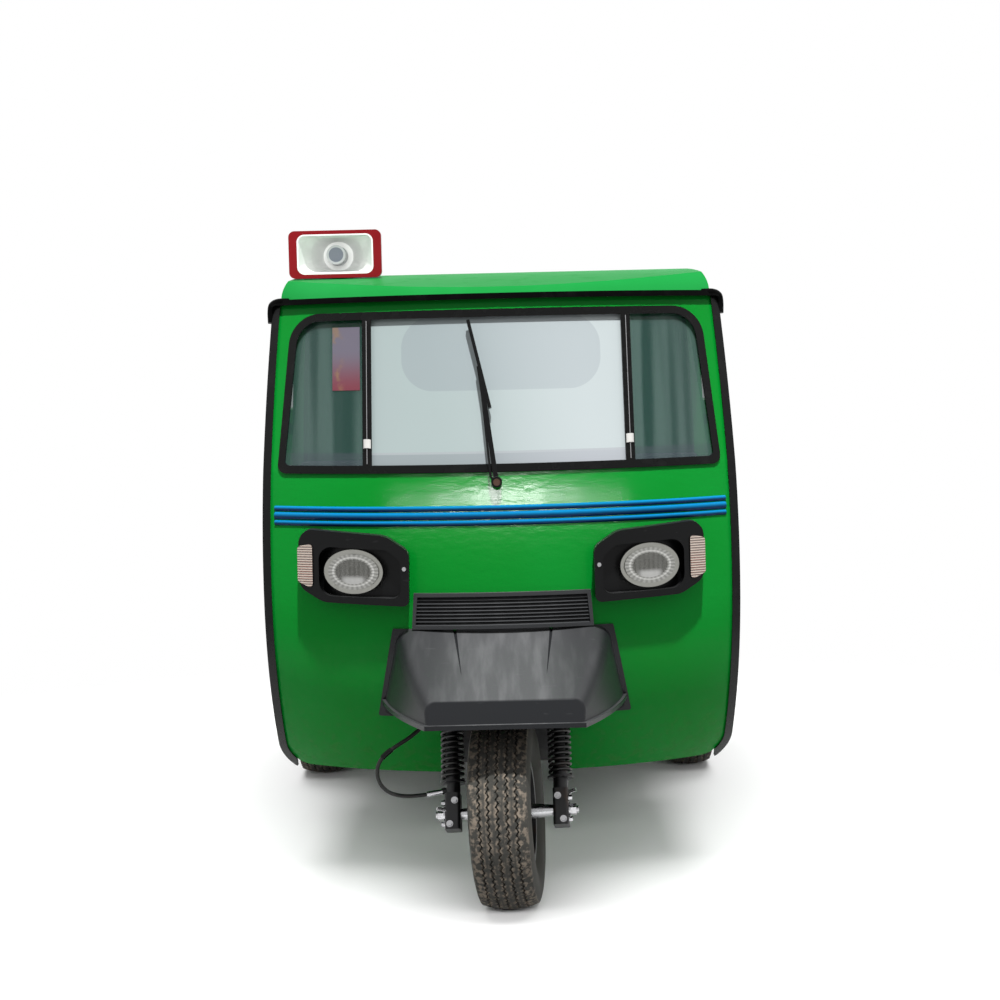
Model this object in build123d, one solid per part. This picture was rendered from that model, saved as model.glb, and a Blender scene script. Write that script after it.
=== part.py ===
from build123d import *
import os
from math import cos, hypot, pi, radians, sin, sqrt, tan

# A three-wheeled electric refuse carrier: a pressed cab on a steel chassis, a raked front fork, a driven rear
# axle on leaf springs and a tipping open box with a top-hung tailgate.
# Millimetres. +Z is up, the vehicle faces -Y, and the origin is on the ground under the middle of the part.
# A place "behind the axle" is measured back along +Y from the front axle.

# Running gear
WHEELBASE = 2000.0
REAR_TRACK = 1312.0
FRONT_AXLE_Y = -1251.0
TYRE_RADIUS = 258.0
TYRE_WIDTH = 166.0
SHOULDER_INSET = 8.0
SHOULDER_DROP = 14.0
RIM_RADIUS = 130.0
RIM_WIDTH = 132.0
RIM_WALL = 8.0
FLANGE_HEIGHT = 12.0
FLANGE_THICKNESS = 4.0
BEAD_GAP = 1.0
HUB_RADIUS = 45.0
HUB_HALF_LENGTH = 48.0
DISC_OFFSET = 12.0
DISC_THICKNESS = 7.0
HAND_HOLES = 6
HAND_HOLE_RADIUS = 15.0
HAND_HOLE_CIRCLE = 92.0
STUD_CIRCLE = 62.0
STUD_RADIUS = 9.0
STUD_PROUD = 12.0
DRUM_RADIUS = 100.0
DRUM_INSET = 4.0
FRONT_SHAFT_RADIUS = 10.0
REAR_SHAFT_RADIUS = 16.0
RUNNING_CLEARANCE = 0.05
SEAT_GAP = 0.3

# Steering: the raked axis passes through the front wheel's centre, and distances are measured up it
RAKE_DEG = 24.0
REST_STEER_DEG = -6.0
FORK_HALF_WIDTH = 147.0
CROWN_START = 283.0
CROWN_THICKNESS = 40.0
CROWN_DEPTH = 64.0
CROWN_OVERHANG = 35.0
HEAD_START = 330.0
HEAD_END = 500.0
HEAD_RADIUS = 30.0
STEM_RADIUS = 18.0
STEM_END = 845.0
STEM_PASSAGE = 12.0
LEG_SLIDER_RADIUS = 20.0
LEG_SLIDER_END = 120.0
LEG_TUBE_RADIUS = 15.0
LEG_CAP = 8.0
SPRING_RADIUS = 28.0
SPRING_WIRE = 4.5
SPRING_START = 96.0
SPRING_END = 276.0
SPRING_TURNS = 12
SPRING_SEAT_RADIUS = 35.0
SPRING_SEAT_THICKNESS = 5.5
CLAMP_HALF_WIDTH = 21.0
CLAMP_DEPTH = 52.0
CLAMP_BELOW = 44.0
CLAMP_HEIGHT = 100.0
CLAMP_CORNER = 8.0
SPACER_RADII = (23.0, 15.0)
SPINDLE_OVERHANG = 26.0
SPINDLE_SLIP = 0.02
NUT_RADIUS = 16.0
NUT_HEIGHT = 20.0
WASHER_RADIUS = 19.0
WASHER_THICKNESS = 4.0

# Handlebar. Columns: half width, distance past the stem's end, how far back
BAR_BENDS = [(0.0, -14.0, 0.0), (75.0, -14.0, 0.0), (175.0, 26.0, 40.0), (335.0, 26.0, 110.0)]
BAR_RADIUS = 11.0
BAR_BEND_RADIUS = 60.0
BAR_CLAMP_HALF_WIDTH = 32.0
BAR_CLAMP_WALL = 14.0
BAR_POST_WALL = 9.0
BAR_POST_LENGTH = 70.0
GRIP_RADIUS = 17.0
GRIP_LENGTH = 118.0
GRIP_END = 4.0

# Brake hose: its route from the leg's clamp round to the crown. Columns: X, place behind the axle, height
HOSE_RADIUS = 5.5
HOSE_ROUTE = [
    (-176.0, 24.0, 318.0),
    (-228.0, 15.0, 311.0),
    (-285.0, 5.0, 313.0),
    (-328.0, -2.0, 330.0),
    (-350.0, -5.0, 369.0),
    (-342.0, -3.0, 414.0),
    (-306.0, 8.0, 444.0),
    (-250.0, 32.0, 472.0),
    (-204.0, 52.0, 510.0),
    (-168.0, 86.0, 540.0),
]
RUN_SHARE = 0.45
FITTING_LENGTH = 34.0
FITTING_WALL = 3.5

# Cab form: a side profile turned about one upright axis, trimmed by a front-view outline
NOSE_SETBACK = 110.0
PLAN_RADIUS = 1150.0
NOSE_Z = 800.0
LOWER_ARC_RADIUS = 770.0
UPPER_ARC_RADIUS = 1593.0
SCREEN_BASE_Z = 1176.0
SCREEN_SLOPE_DEG = 18.0
FORM_HALF_ANGLE = 80.0
PANEL_BOTTOM_Z = 303.0
ROOF_BASE_Z = 1650.0
SHELL_THICKNESS = 20.0
HALF_WIDTH_BOTTOM = 650.0
HALF_WIDTH_MIDDLE = 664.0
HALF_WIDTH_TOP = 638.0
MIDDLE_Z = 980.0
BOTTOM_CORNER_RADIUS = 85.0
BEAD_HALF_WIDTH = 12.0
BEAD_PROUD = 6.0
BEAD_CORNER_SHARE = 0.45
ARCH_TOP_Z = 715.0
ARCH_CORNER = 45.0
WELL_HALF_WIDTH = 180.0
WELL_BACK = 470.0
WELL_TOP_Z = 775.0
WELL_WALL = 10.0

# Windscreen: half widths and heights of its corners, seal, uprights and panes
SCREEN_BOTTOM_Z = 1172.0
SCREEN_TOP_Z = 1622.0
SCREEN_HALF_BOTTOM = 630.0
SCREEN_HALF_TOP = 590.0
SCREEN_TOP_CORNER = 95.0
SCREEN_BOTTOM_CORNER = 24.0
SEAL_WIDTH = 22.0
SEAL_PROUD = 7.0
SEAL_DEPTH = 14.0
MULLION_X = 366.0
MULLION_WIDTH = 26.0
GLASS_THICKNESS = 5.0
GLASS_DEPTH = 6.0

# Wiper: places in the front view, (X, Z), of the spindle, the arm's end and the blade's ends
WIPER_SPINDLE = (-8.0, 1146.0)
WIPER_ARM_END = (-50.0, 1462.0)
WIPER_BLADE = [(-22.0, 1347.0), (-78.0, 1590.0)]
WIPER_STANDOFF = 26.0
WIPER_SHAFT_RADIUS = 9.0
WIPER_KNOB_RADIUS = 15.0
WIPER_ARM = (13.0, 6.0)
WIPER_STRUT_RADIUS = 3.0
WIPER_STRUT_OFFSET = (-16.0, 14.0)
WIPER_BLADE_SECTION = (9.0, 14.0)

# Blue trim: three beads across the nose. Columns: height of the middle, half height, how far it stands out
TRIM_BEADS = [(1074.0, 7.0, 6.0), (1054.0, 9.0, 7.0), (1034.0, 7.0, 6.0)]
TRIM_EDGE_GAP = 10.0

# Headlamps on the +X side. Columns of both outlines: X, Z, corner radius
BEZEL_OUTLINE = [
    (255.0, 812.0, 18.0),
    (496.0, 822.0, 70.0),
    (564.0, 862.0, 44.0),
    (564.0, 1024.0, 40.0),
    (318.0, 1005.0, 70.0),
    (252.0, 962.0, 34.0),
]
POCKET_OUTLINE = [
    (277.0, 834.0, 24.0),
    (506.0, 840.0, 40.0),
    (506.0, 976.0, 36.0),
    (312.0, 966.0, 36.0),
    (277.0, 936.0, 24.0),
]
BEZEL_PROUD = 48.0
POCKET_FLOOR = 12.0
LAMP_X = 409.0
LAMP_Z = 906.0
LAMP_HALF_WIDTH = 83.0
LAMP_HALF_HEIGHT = 61.0
LAMP_RIM = 12.0
LAMP_FRONT = 36.0
LAMP_FLOOR = 4.0
LENS_DEPTH = 8.0
LENS_PROUD = 4.0
INDICATOR_INNER_X = 524.0
INDICATOR_OVERLAP = 3.0
INDICATOR_BOTTOM_Z = 858.0
INDICATOR_TOP_Z = 984.0
INDICATOR_CORNER = 10.0
INDICATOR_FLOOR = 14.0
INDICATOR_PROUD = 52.0

# Step grille on the nose between the headlamps
GRILLE_HALF_BOTTOM = 250.0
GRILLE_HALF_TOP = 243.0
GRILLE_BOTTOM_Z = 746.0
GRILLE_TOP_Z = 845.0
GRILLE_BORDER = 10.0
GRILLE_PROUD = 20.0
GRILLE_FLOOR = 5.0
GRILLE_LOUVRES = 8
LOUVRE_PROUD = 17.0
LOUVRE_SHARE = 0.78

# Front mudguard. Columns of its sections: place behind the axle, half width at the rim, top, corner radius
GUARD_SECTIONS = [(216.0, 336.0, 784.0, 62.0), (-17.0, 290.0, 684.0, 54.0), (-256.0, 202.0, 581.0, 26.0)]
GUARD_LEAN_DEG = 9.5
GUARD_RIM_Z = 530.0
GUARD_WALL = 6.0
GUARD_CREASE = (-215.0, 599.0)
GUARD_FILLET = 14.0
GUARD_LIP_HEIGHT = 12.0
GUARD_LIP_WIDTH = 7.0
GUARD_FLANGE_THICKNESS = 5.0
GUARD_FLANGE_WIDTH = 4.0
GUARD_TAB_WIDTH = 12.0
GUARD_FLANGE_BOTTOM_Z = 492.0
DART_ROOT_X = 133.0
DART_TIP_X = 113.0
DART_ROOT = 122.0
DART_LENGTH = 225.0
DART_WIDTH = 18.0
DART_DEPTH = 5.0

# Roof and its drip edging
ROOF_CREST_Z = 1740.0
ROOF_CREST_Y = 850.0
ROOF_FASCIA_Z = 1684.0
ROOF_THICKNESS = 18.0
ROOF_SIDE_INSET = 14.0
ROOF_SHOULDER = 84.0
ROOF_BACK_DROP = 14.0
ROOF_CROWN = 5.0
ROOF_OVERRUN = 60.0
GUTTER_TOP_Z = 1666.0
GUTTER_PROUD = 18.0
GUTTER_DEPTH = 12.0
GUTTER_SIDE = 20.0

# Horn on the roof. Columns of its flare: share of the depth, width, height, corner radius
HORN_X = -464.0
HORN_Y = 560.0
HORN_LIFT = 4.0
HORN_WIDTH = 270.0
HORN_HEIGHT = 138.0
HORN_CORNER = 18.0
HORN_LENGTH = 150.0
HORN_RIM_DEPTH = 26.0
HORN_WALL = 4.0
HORN_FLARE = [(0.0, 222.0, 116.0, 22.0), (0.45, 156.0, 104.0, 40.0), (1.0, 96.0, 92.0, 45.0)]
HORN_CAP_RADIUS = 28.0
HORN_CAP_START = 40.0
DRIVER_RADIUS = 40.0
DRIVER_LENGTH = 60.0
BRACKET_HALF_DEPTH = 14.0
BRACKET_STRAP = 5.0
BRACKET_LEG_HALF_WIDTH = 22.0
BRACKET_FOOT_HALF_WIDTH = 60.0
BRACKET_FOOT_HEIGHT = 6.0

# Cab floor, back wall and what stands in the cab
CAB_BACK = 1200.0
BULKHEAD_THICKNESS = 30.0
PILLAR_DEPTH = 180.0
PILLAR_WIDTH = 34.0
FLOOR_Z = 385.0
SILL_Z = 470.0
SILL_WIDTH = 34.0
SILL_GAP = 3.0
REAR_WINDOW_WIDTH = 700.0
REAR_WINDOW_BOTTOM_Z = 1376.0
REAR_WINDOW_TOP_Z = 1606.0
REAR_WINDOW_CORNER = 105.0
REAR_PANE_THICKNESS = 6.0
DASH_TOP_Z = 1200.0
DASH_BOTTOM_Z = 1116.0
DASH_BACK = 450.0
DASH_HALF_WIDTH = 560.0
DASH_EDGE_RADIUS = 18.0
SEAT_HALF_WIDTH = 470.0
SEAT_FRONT = 720.0
SEAT_BASE_Z = 610.0
SEAT_BASE_WALL = 8.0
SEAT_BACK_GAP = 3.0
CUSHION_THICKNESS = 95.0
CUSHION_NOSE = 14.0
CUSHION_SIDE_INSET = 6.0
CUSHION_RADIUS = 18.0
CUSHION_BACK_GAP = 8.0
BACKREST_BOTTOM_GAP = 20.0
BACKREST_TOP_Z = 1120.0
BACKREST_THICKNESS = 85.0
BATTERY_HALF_WIDTH = 380.0
BATTERY_INSET = 40.0
BATTERY_HEAD_ROOM = 40.0

# Chassis. The cross-members' columns: place behind the axle, whether on the raised part of the rails
RAIL_X = 400.0
RAIL_WIDTH = 40.0
RAIL_HEIGHT = 60.0
RAIL_LOW_Z = 285.0
RAIL_HIGH_Z = 430.0
RAIL_FRONT = 600.0
RAIL_BACK = 2580.0
KICK_START = 1230.0
KICK_END = 1400.0
KICK_SHIFT = 24.0
CROSS_MEMBERS = [(620.0, False), (1120.0, False), (1390.0, True), (2240.0, True), (2530.0, True)]
CROSS_DEPTH = 50.0
HEAD_BEAM_FRONT = 190.0
HEAD_BEAM_TOP_Z = 716.0
HEAD_BEAM_UNDER_Z = 640.0
HEAD_BEAM_FOOT = 390.0
HEAD_BEAM_HALF_WIDTH = 30.0
HEAD_BEAM_WELL_GAP = 20.0

# Rear springs and axle
SPRING_EYE_REACH = 430.0
SPRING_EYE_Z = 402.0
SPRING_EYE_RADIUS = 15.0
SPRING_SAG = 46.0
SPRING_WIDTH = 50.0
HANGER_HALF_DEPTH = 26.0
LEAF_THICKNESS = 9.0
LEAF_LENGTHS = [430.0, 350.0, 260.0, 170.0]
SADDLE_HALF_DEPTH = 45.0
SADDLE_OVERHANG = 8.0
SADDLE_CAP = 6.0
AXLE_RADIUS = 36.0
AXLE_END_GAP = 14.0
SHAFT_END_INSET = 6.0
CASING_RADIUS = 86.0
MOTOR_RADIUS = 70.0
MOTOR_LENGTH = 300.0
MOTOR_RISE = 20.0
MOTOR_CAP_RADIUS = 60.0
MOTOR_CAP = 20.0
DRUM_PLATE_RADIUS = 104.0
DRUM_PLATE_THICKNESS = 12.0

# Rear mudguards, bumper and lamps
REAR_GUARD_RADIUS = 280.0
REAR_GUARD_WALL = 4.0
REAR_GUARD_SPAN = (-96.0, 72.0)
REAR_GUARD_ANGLES = (30.0, 150.0)
STAY_ANGLES = (42.0, 138.0)
STAY_RADIUS = 8.0
STAY_LAP = 10.0
BUMPER_HALF = 620.0
BUMPER_Z = (372.0, 426.0)
BUMPER_Y = (2694.0, 2740.0)
BUMPER_ARM_FRONT = 2500.0
BUMPER_ARM_HALF_WIDTH = 16.0
BUMPER_ARM_GAP = 10.0
PLATE_HOLE_SPACING = 180.0
PLATE_HOLE_RADIUS = 3.3
TAIL_LAMP_X = 530.0
TAIL_LAMP_HALF_WIDTH = 62.0
TAIL_LAMP_DEPTH = 34.0
TAIL_LAMP_OVERHANG = 4.0
TAIL_LAMP_RADIUS = 10.0

# Tipping box, its hinge, tailgate and ram. Ram places: behind the axle, height
BED_FRONT = 1290.0
BED_BACK = 2700.0
BED_HALF_WIDTH = 700.0
BED_FLOOR_Z = 560.0
BED_TOP_Z = 1330.0
BED_WALL = 30.0
RIB_COUNT = 6
FRONT_RIB_COUNT = 4
RIB_WIDTH = 44.0
RIB_PROUD = 14.0
RAIL_CAP = 46.0
BEARER_WIDTH = 38.0
BEARER_FRONT = 120.0
BEARER_GAP = 0.5
TIP_PIVOT_Y = 2620.0
TIP_PIVOT_Z = 525.0
TIP_PIN_RADIUS = 12.0
TIP_EAR_PLATE = 9.0
TIP_EAR_RADIUS = 26.0
TIP_EAR_REACH = 90.0
TIP_EAR_LAP = 44.0
PIN_END = 6.0
GATE_PIVOT_Y = 2715.0
GATE_PIVOT_Z = 1345.0
GATE_PIN_RADIUS = 8.0
GATE_BARREL_RADIUS = 14.0
GATE_THICKNESS = 28.0
GATE_CLEARANCE = 0.8
GATE_SIDE_GAP = 30.0
GATE_BOTTOM_GAP = 6.0
GATE_EAR_WIDTH = 26.0
GATE_EAR_RADIUS = 18.0
GATE_EAR_ROOT = 60.0
GATE_PIN_REACH = (20.0, 60.0)
GATE_RIB_PROUD = 12.0
GATE_RIB_EDGE = 20.0
GATE_RIB_BOTTOM = 40.0
GATE_RIB_TOP = 66.0
RAM_MEMBER = 2
RAM_BASE = (1440.0, 452.0)
RAM_EYE = (2030.0, 522.0)
RAM_BARREL_LENGTH = 440.0
RAM_BARREL_START = 30.0
RAM_RADIUS = 34.0
RAM_PIN_RADIUS = 11.0
RAM_BASE_EYE_RADIUS = 20.0
RAM_ROD_RADIUS = 16.0
RAM_ROD_INSET = 56.0
RAM_ROD_STOP = 8.0
RAM_EYE_RADIUS = 22.0
RAM_EYE_BORE = 10.0
RAM_EYE_HALF_WIDTH = 15.0
RAM_EAR = 10.0
RAM_EAR_GAP = 5.0
RAM_EAR_REACH = 26.0
RAM_EAR_RISE = (24.0, 30.0)
BOX_EAR_X = 26.0
BOX_EAR_HALF_DEPTH = 30.0
BOX_EAR_DROP = 16.0

# Worked out from the sizes above
NOSE_Y = FRONT_AXLE_Y + NOSE_SETBACK
PLAN_AXIS = Axis((0, NOSE_Y + PLAN_RADIUS, 0), (0, 0, 1))
REAR_AXLE_Y = FRONT_AXLE_Y + WHEELBASE
WHEEL_CENTRE = Vector(0, FRONT_AXLE_Y, TYRE_RADIUS)
STEER_DIR = Vector(0, sin(radians(RAKE_DEG)), cos(radians(RAKE_DEG)))
STEER_AXIS = Axis(WHEEL_CENTRE, STEER_DIR)
RAIL_TOP_LOW_Z = RAIL_LOW_Z + RAIL_HEIGHT
BEARER_Z = RAIL_HIGH_Z + RAIL_HEIGHT + BEARER_GAP
SILL_INSET = BEAD_HALF_WIDTH + SILL_GAP
RAM_LENGTH = hypot(RAM_EYE[0] - RAM_BASE[0], RAM_EYE[1] - RAM_BASE[1])
FAR = 3000.0


# Small helpers


def at(y):
    """A place behind the front axle, as a Y of the part's frame."""
    return FRONT_AXLE_Y + y


def solids(*shapes):
    """Every solid in the shapes, as one flat list."""
    found = []
    for shape in shapes:
        found += shape if isinstance(shape, list) else shape.solids()
    return found


def fuse(shapes):
    """One shape from several that touch or overlap."""
    joined = shapes[0]
    for shape in shapes[1:]:
        joined = joined + shape
    return joined


def block(x0, x1, y0, y1, z0, z1):
    """A box between two corners."""
    return Pos((x0 + x1) / 2, (y0 + y1) / 2, (z0 + z1) / 2) * Box(x1 - x0, y1 - y0, z1 - z0)


def slab(x0, x1):
    """Everything between two X places."""
    return block(x0, x1, -FAR, FAR, -FAR, FAR)


def rod(start, end, radius):
    """A round bar between two points."""
    a, b = Vector(*start), Vector(*end)
    plane = Plane(origin=a, z_dir=b - a)
    return extrude(plane * Circle(radius), amount=(b - a).length)


def cross_rod(x0, x1, y, z, radius):
    """A round bar along X."""
    return rod((x0, y, z), (x1, y, z), radius)


def bar(start, end, width, thickness):
    """A flat bar between two points, its width along X."""
    a, b = Vector(*start), Vector(*end)
    plane = Plane(origin=a, x_dir=Vector(1, 0, 0), z_dir=b - a)
    return extrude(plane * Rectangle(width, thickness), amount=(b - a).length)


def side_face(points):
    """A polygon in the YZ plane, its Y measured behind the axle."""
    return Face(Wire.make_polygon([Vector(0, at(y), z) for y, z in points]))


def across(face, x0, x1):
    """A YZ face drawn out between two X places."""
    return extrude(Pos(x0, 0, 0) * face, amount=x1 - x0, dir=(1, 0, 0))


def mirrored(shape):
    """The shape's mirror image across the middle of the vehicle."""
    return mirror(shape, about=Plane.YZ)


def both_sides(shape):
    """A shape and its mirror image, as a list of solids."""
    return solids(shape, mirrored(shape))


def front_prism(edges):
    """A front-view outline of edges in the XZ plane, drawn out along Y."""
    return extrude(Face(Wire(edges)), amount=FAR, dir=(0, 1, 0), both=True)


def rounded_prism(corners):
    """A front-view polygon with rounded corners, (X, Z, radius) each, drawn out along Y."""
    points = [Vector(x, 0, z) for x, z, _ in corners]
    path = FilletPolyline(*points, radius=[r for _, _, r in corners], close=True)
    return front_prism(path.edges())


# Cab form


def setback(z):
    """How far the cab's outer face lies behind its nose at height z, on the middle line."""
    if z <= NOSE_Z:
        return LOWER_ARC_RADIUS - sqrt(LOWER_ARC_RADIUS**2 - (NOSE_Z - z) ** 2)
    if z <= SCREEN_BASE_Z:
        return UPPER_ARC_RADIUS - sqrt(UPPER_ARC_RADIUS**2 - (z - NOSE_Z) ** 2)
    return setback(SCREEN_BASE_Z) + (z - SCREEN_BASE_Z) * tan(radians(SCREEN_SLOPE_DEG))


def profile_point(z, shift):
    """A point of the side profile at height z, moved forward by shift."""
    return Vector(0, NOSE_Y + setback(z) - shift, z)


def profile_edges(shift, z0, z1):
    """The side profile from z0 up to z1, moved forward by shift, as arcs and lines."""
    heights = [z0] + [z for z in (NOSE_Z, SCREEN_BASE_Z) if z0 < z < z1] + [z1]
    edges = []
    for low, high in zip(heights, heights[1:]):
        ends = profile_point(low, shift), profile_point(high, shift)
        if low >= SCREEN_BASE_Z:
            edges.append(Edge.make_line(*ends))
        else:
            middle = profile_point((low + high) / 2, shift)
            edges.append(Edge.make_three_point_arc(ends[0], middle, ends[1]))
    return edges


def turned(face):
    """A face of the side view turned about the cab's upright axis."""
    start = face.rotate(PLAN_AXIS, -FORM_HALF_ANGLE)
    return revolve(start, axis=PLAN_AXIS, revolution_arc=2 * FORM_HALF_ANGLE)


def band(outward, inward, z0=PANEL_BOTTOM_Z, z1=ROOF_BASE_Z):
    """The layer of the cab form from `inward` inside its outer face to `outward` in front of it."""
    front = profile_edges(outward, z0, z1)
    back = profile_edges(-inward, z0, z1)
    top = Edge.make_line(front[-1] @ 1, back[-1] @ 1)
    bottom = Edge.make_line(back[0] @ 0, front[0] @ 0)
    return turned(Face(Wire(front + [top] + back + [bottom])))


def wedge(z0, z1, low_proud, high_proud, floor):
    """A louvre of the cab form, from z0 to z1, that stands out by different amounts below and above."""
    corners = [(z0, floor), (z0, low_proud), (z1, high_proud), (z1, floor)]
    return turned(Face(Wire.make_polygon([profile_point(z, shift) for z, shift in corners])))


def plan_depth(x, z, outward=0.0):
    """The Y of the cab's outer face, moved out by `outward`, at a place of the front view."""
    radius = PLAN_RADIUS - setback(z) + outward
    return NOSE_Y + PLAN_RADIUS - sqrt(radius**2 - x**2)


def outline(inset=0.0, z0=PANEL_BOTTOM_Z, z1=ROOF_BASE_Z):
    """The cab's front-view outline, moved inwards by inset, drawn out along Y."""
    corner = BOTTOM_CORNER_RADIUS
    low = PANEL_BOTTOM_Z + inset
    bend_x = HALF_WIDTH_BOTTOM - corner
    bend_z = PANEL_BOTTOM_Z + corner
    reach = (corner - inset) * sin(pi / 4)
    foot = Vector(bend_x, 0, low)
    heel = Vector(HALF_WIDTH_BOTTOM - inset, 0, bend_z)
    bend = Vector(bend_x + reach, 0, bend_z - reach)
    middle = Vector(HALF_WIDTH_MIDDLE - inset, 0, MIDDLE_Z)
    top = Vector(HALF_WIDTH_TOP - inset, 0, ROOF_BASE_Z)
    half = [
        Edge.make_line(Vector(0, 0, low), foot),
        Edge.make_three_point_arc(foot, bend, heel),
        Edge.make_three_point_arc(heel, middle, top),
        Edge.make_line(top, Vector(0, 0, ROOF_BASE_Z)),
        Edge.make_line(Vector(0, 0, ROOF_BASE_Z), Vector(0, 0, low)),
    ]
    right = front_prism(half)
    whole = right + mirrored(right)
    return whole & block(-FAR, FAR, -FAR, FAR, z0, z1)


def screen_outline(inset):
    """The windscreen opening moved inwards by inset, drawn out along Y."""
    bottom, top = SCREEN_BOTTOM_Z + inset, SCREEN_TOP_Z - inset
    low, high = SCREEN_HALF_BOTTOM - inset, SCREEN_HALF_TOP - inset
    small, large = SCREEN_BOTTOM_CORNER - inset / 2, SCREEN_TOP_CORNER - inset
    corners = [(-low, bottom, small), (low, bottom, small), (high, top, large), (-high, top, large)]
    return rounded_prism(corners)


def screen_band(outward, inward):
    """The layer of the cab form over the windscreen's height."""
    return band(outward, inward, SCREEN_BOTTOM_Z - SEAL_WIDTH, ROOF_BASE_Z)


def uprights():
    """The strips of the front view that the windscreen's two uprights take."""
    half = MULLION_WIDTH / 2
    return [slab(x - half, x + half) for x in (-MULLION_X, MULLION_X)]


def front_panel():
    """The pressed front shell with its windscreen opening and the arch over the fork."""
    shell = band(0, SHELL_THICKNESS) & outline(BEAD_HALF_WIDTH)
    below = PANEL_BOTTOM_Z - 2 * ARCH_CORNER
    half = WELL_HALF_WIDTH
    corners = [(-half, below), (half, below), (half, ARCH_TOP_Z), (-half, ARCH_TOP_Z)]
    arch = rounded_prism([(x, z, ARCH_CORNER) for x, z in corners])
    return shell - screen_outline(0) - arch


def edge_beading():
    """The black rubber edging down both sides of the front shell."""
    ring = outline(-BEAD_HALF_WIDTH) - outline(BEAD_HALF_WIDTH)
    keep = HALF_WIDTH_BOTTOM - BOTTOM_CORNER_RADIUS * BEAD_CORNER_SHARE
    return band(BEAD_PROUD, SHELL_THICKNESS) & (ring - slab(-keep, keep))


def windscreen_seal():
    """The rubber frame round the windscreen and its two uprights."""
    layer = screen_band(SEAL_PROUD, SEAL_DEPTH)
    inside = screen_outline(SEAL_WIDTH)
    frame = layer & (screen_outline(0) - inside)
    return fuse([frame] + [layer & strip & inside for strip in uprights()])


def windscreen_glass():
    """The three panes between the seal and its uprights."""
    pane = screen_band(-GLASS_DEPTH, GLASS_DEPTH + GLASS_THICKNESS) & screen_outline(SEAL_WIDTH)
    for strip in uprights():
        pane = pane - strip
    return pane


def blue_trim():
    """Three beads along the nose, one solid each."""
    inside = outline(BEAD_HALF_WIDTH + TRIM_EDGE_GAP)
    beads = []
    for middle, half, proud in TRIM_BEADS:
        beads += solids(band(proud, 0, middle - half, middle + half) & inside)
    return beads


# Headlamps


def lamp_layer(inward, outward):
    """The layer of the cab form round the headlamps."""
    low, high = BEZEL_OUTLINE[0][1], BEZEL_OUTLINE[3][1]
    return band(outward, -inward, low - BEZEL_PROUD, high + BEZEL_PROUD)


def open_layer(floor):
    """The layer from a floor out past the front of the bezel."""
    return lamp_layer(floor, 2 * BEZEL_PROUD)


def indicator_prism():
    """The front-view outline of one indicator, drawn out along Y."""
    inner, outer = INDICATOR_INNER_X, BEZEL_OUTLINE[2][0] + INDICATOR_OVERLAP
    low, high, r = INDICATOR_BOTTOM_Z, INDICATOR_TOP_Z, INDICATOR_CORNER
    return rounded_prism([(inner, low, r), (outer, low + 2 * r, r), (outer, high - r, r), (inner, high, r)])


def lamp_prism(inset):
    """The lamp's elliptical front-view outline moved inwards by inset, drawn out along Y."""
    plane = Plane(origin=(LAMP_X, 0, LAMP_Z), x_dir=(1, 0, 0), z_dir=(0, -1, 0))
    ellipse = Ellipse(LAMP_HALF_WIDTH - inset, LAMP_HALF_HEIGHT - inset)
    return extrude(plane * ellipse, amount=FAR, both=True)


def headlamp_bezel():
    """A black moulding with a hooded pocket for the lamp and a seat for the indicator."""
    body = lamp_layer(0, BEZEL_PROUD) & rounded_prism(BEZEL_OUTLINE)
    pocket = open_layer(POCKET_FLOOR) & (rounded_prism(POCKET_OUTLINE) + lamp_prism(0))
    seat = open_layer(INDICATOR_FLOOR) & indicator_prism()
    return body - pocket - seat


def headlamp_reflector():
    """The lamp's bowl: a rim that holds the lens and a thin bright floor."""
    drum = lamp_layer(POCKET_FLOOR, LAMP_FRONT) & lamp_prism(0)
    return drum - (open_layer(POCKET_FLOOR + LAMP_FLOOR) & lamp_prism(LAMP_RIM))


def headlamp_lens():
    """The clear front of the lamp, seated inside the rim."""
    return lamp_layer(LAMP_FRONT - LENS_DEPTH, LAMP_FRONT + LENS_PROUD) & lamp_prism(LAMP_RIM)


def indicator_lens():
    """The side lens at the bezel's outer end."""
    return lamp_layer(INDICATOR_FLOOR, INDICATOR_PROUD) & indicator_prism()


# Step grille and front mudguard


def grille_prism(border):
    """The grille's front-view outline moved inwards by border, drawn out along Y."""
    low, high = GRILLE_HALF_BOTTOM - border, GRILLE_HALF_TOP - border
    z0, z1 = GRILLE_BOTTOM_Z + border, GRILLE_TOP_Z - border
    corners = [(-low, z0), (low, z0), (high, z1), (-high, z1)]
    return front_prism(Wire.make_polygon([Vector(x, 0, z) for x, z in corners]).edges())


def step_grille():
    """A framed panel of sloping louvres on the nose above the mudguard."""
    inside = grille_prism(GRILLE_BORDER)
    frame = band(GRILLE_PROUD, 0, GRILLE_BOTTOM_Z, GRILLE_TOP_Z) & grille_prism(0)
    frame = frame - (band(2 * GRILLE_PROUD, -GRILLE_FLOOR, GRILLE_BOTTOM_Z, GRILLE_TOP_Z) & inside)
    bottom = GRILLE_BOTTOM_Z + GRILLE_BORDER
    pitch = (GRILLE_TOP_Z - GRILLE_BORDER - bottom) / GRILLE_LOUVRES
    louvres = []
    for index in range(GRILLE_LOUVRES):
        low = bottom + index * pitch
        louvre = wedge(low, low + pitch * LOUVRE_SHARE, LOUVRE_PROUD, GRILLE_FLOOR + 1, GRILLE_FLOOR - 1)
        louvres.append(louvre & inside)
    return fuse([frame] + louvres)


def guard_half(foot, z):
    """The half width at a height of a mudguard side that leans in from its half width at the rim."""
    return foot - (z - GUARD_RIM_Z) * tan(radians(GUARD_LEAN_DEG))


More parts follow.
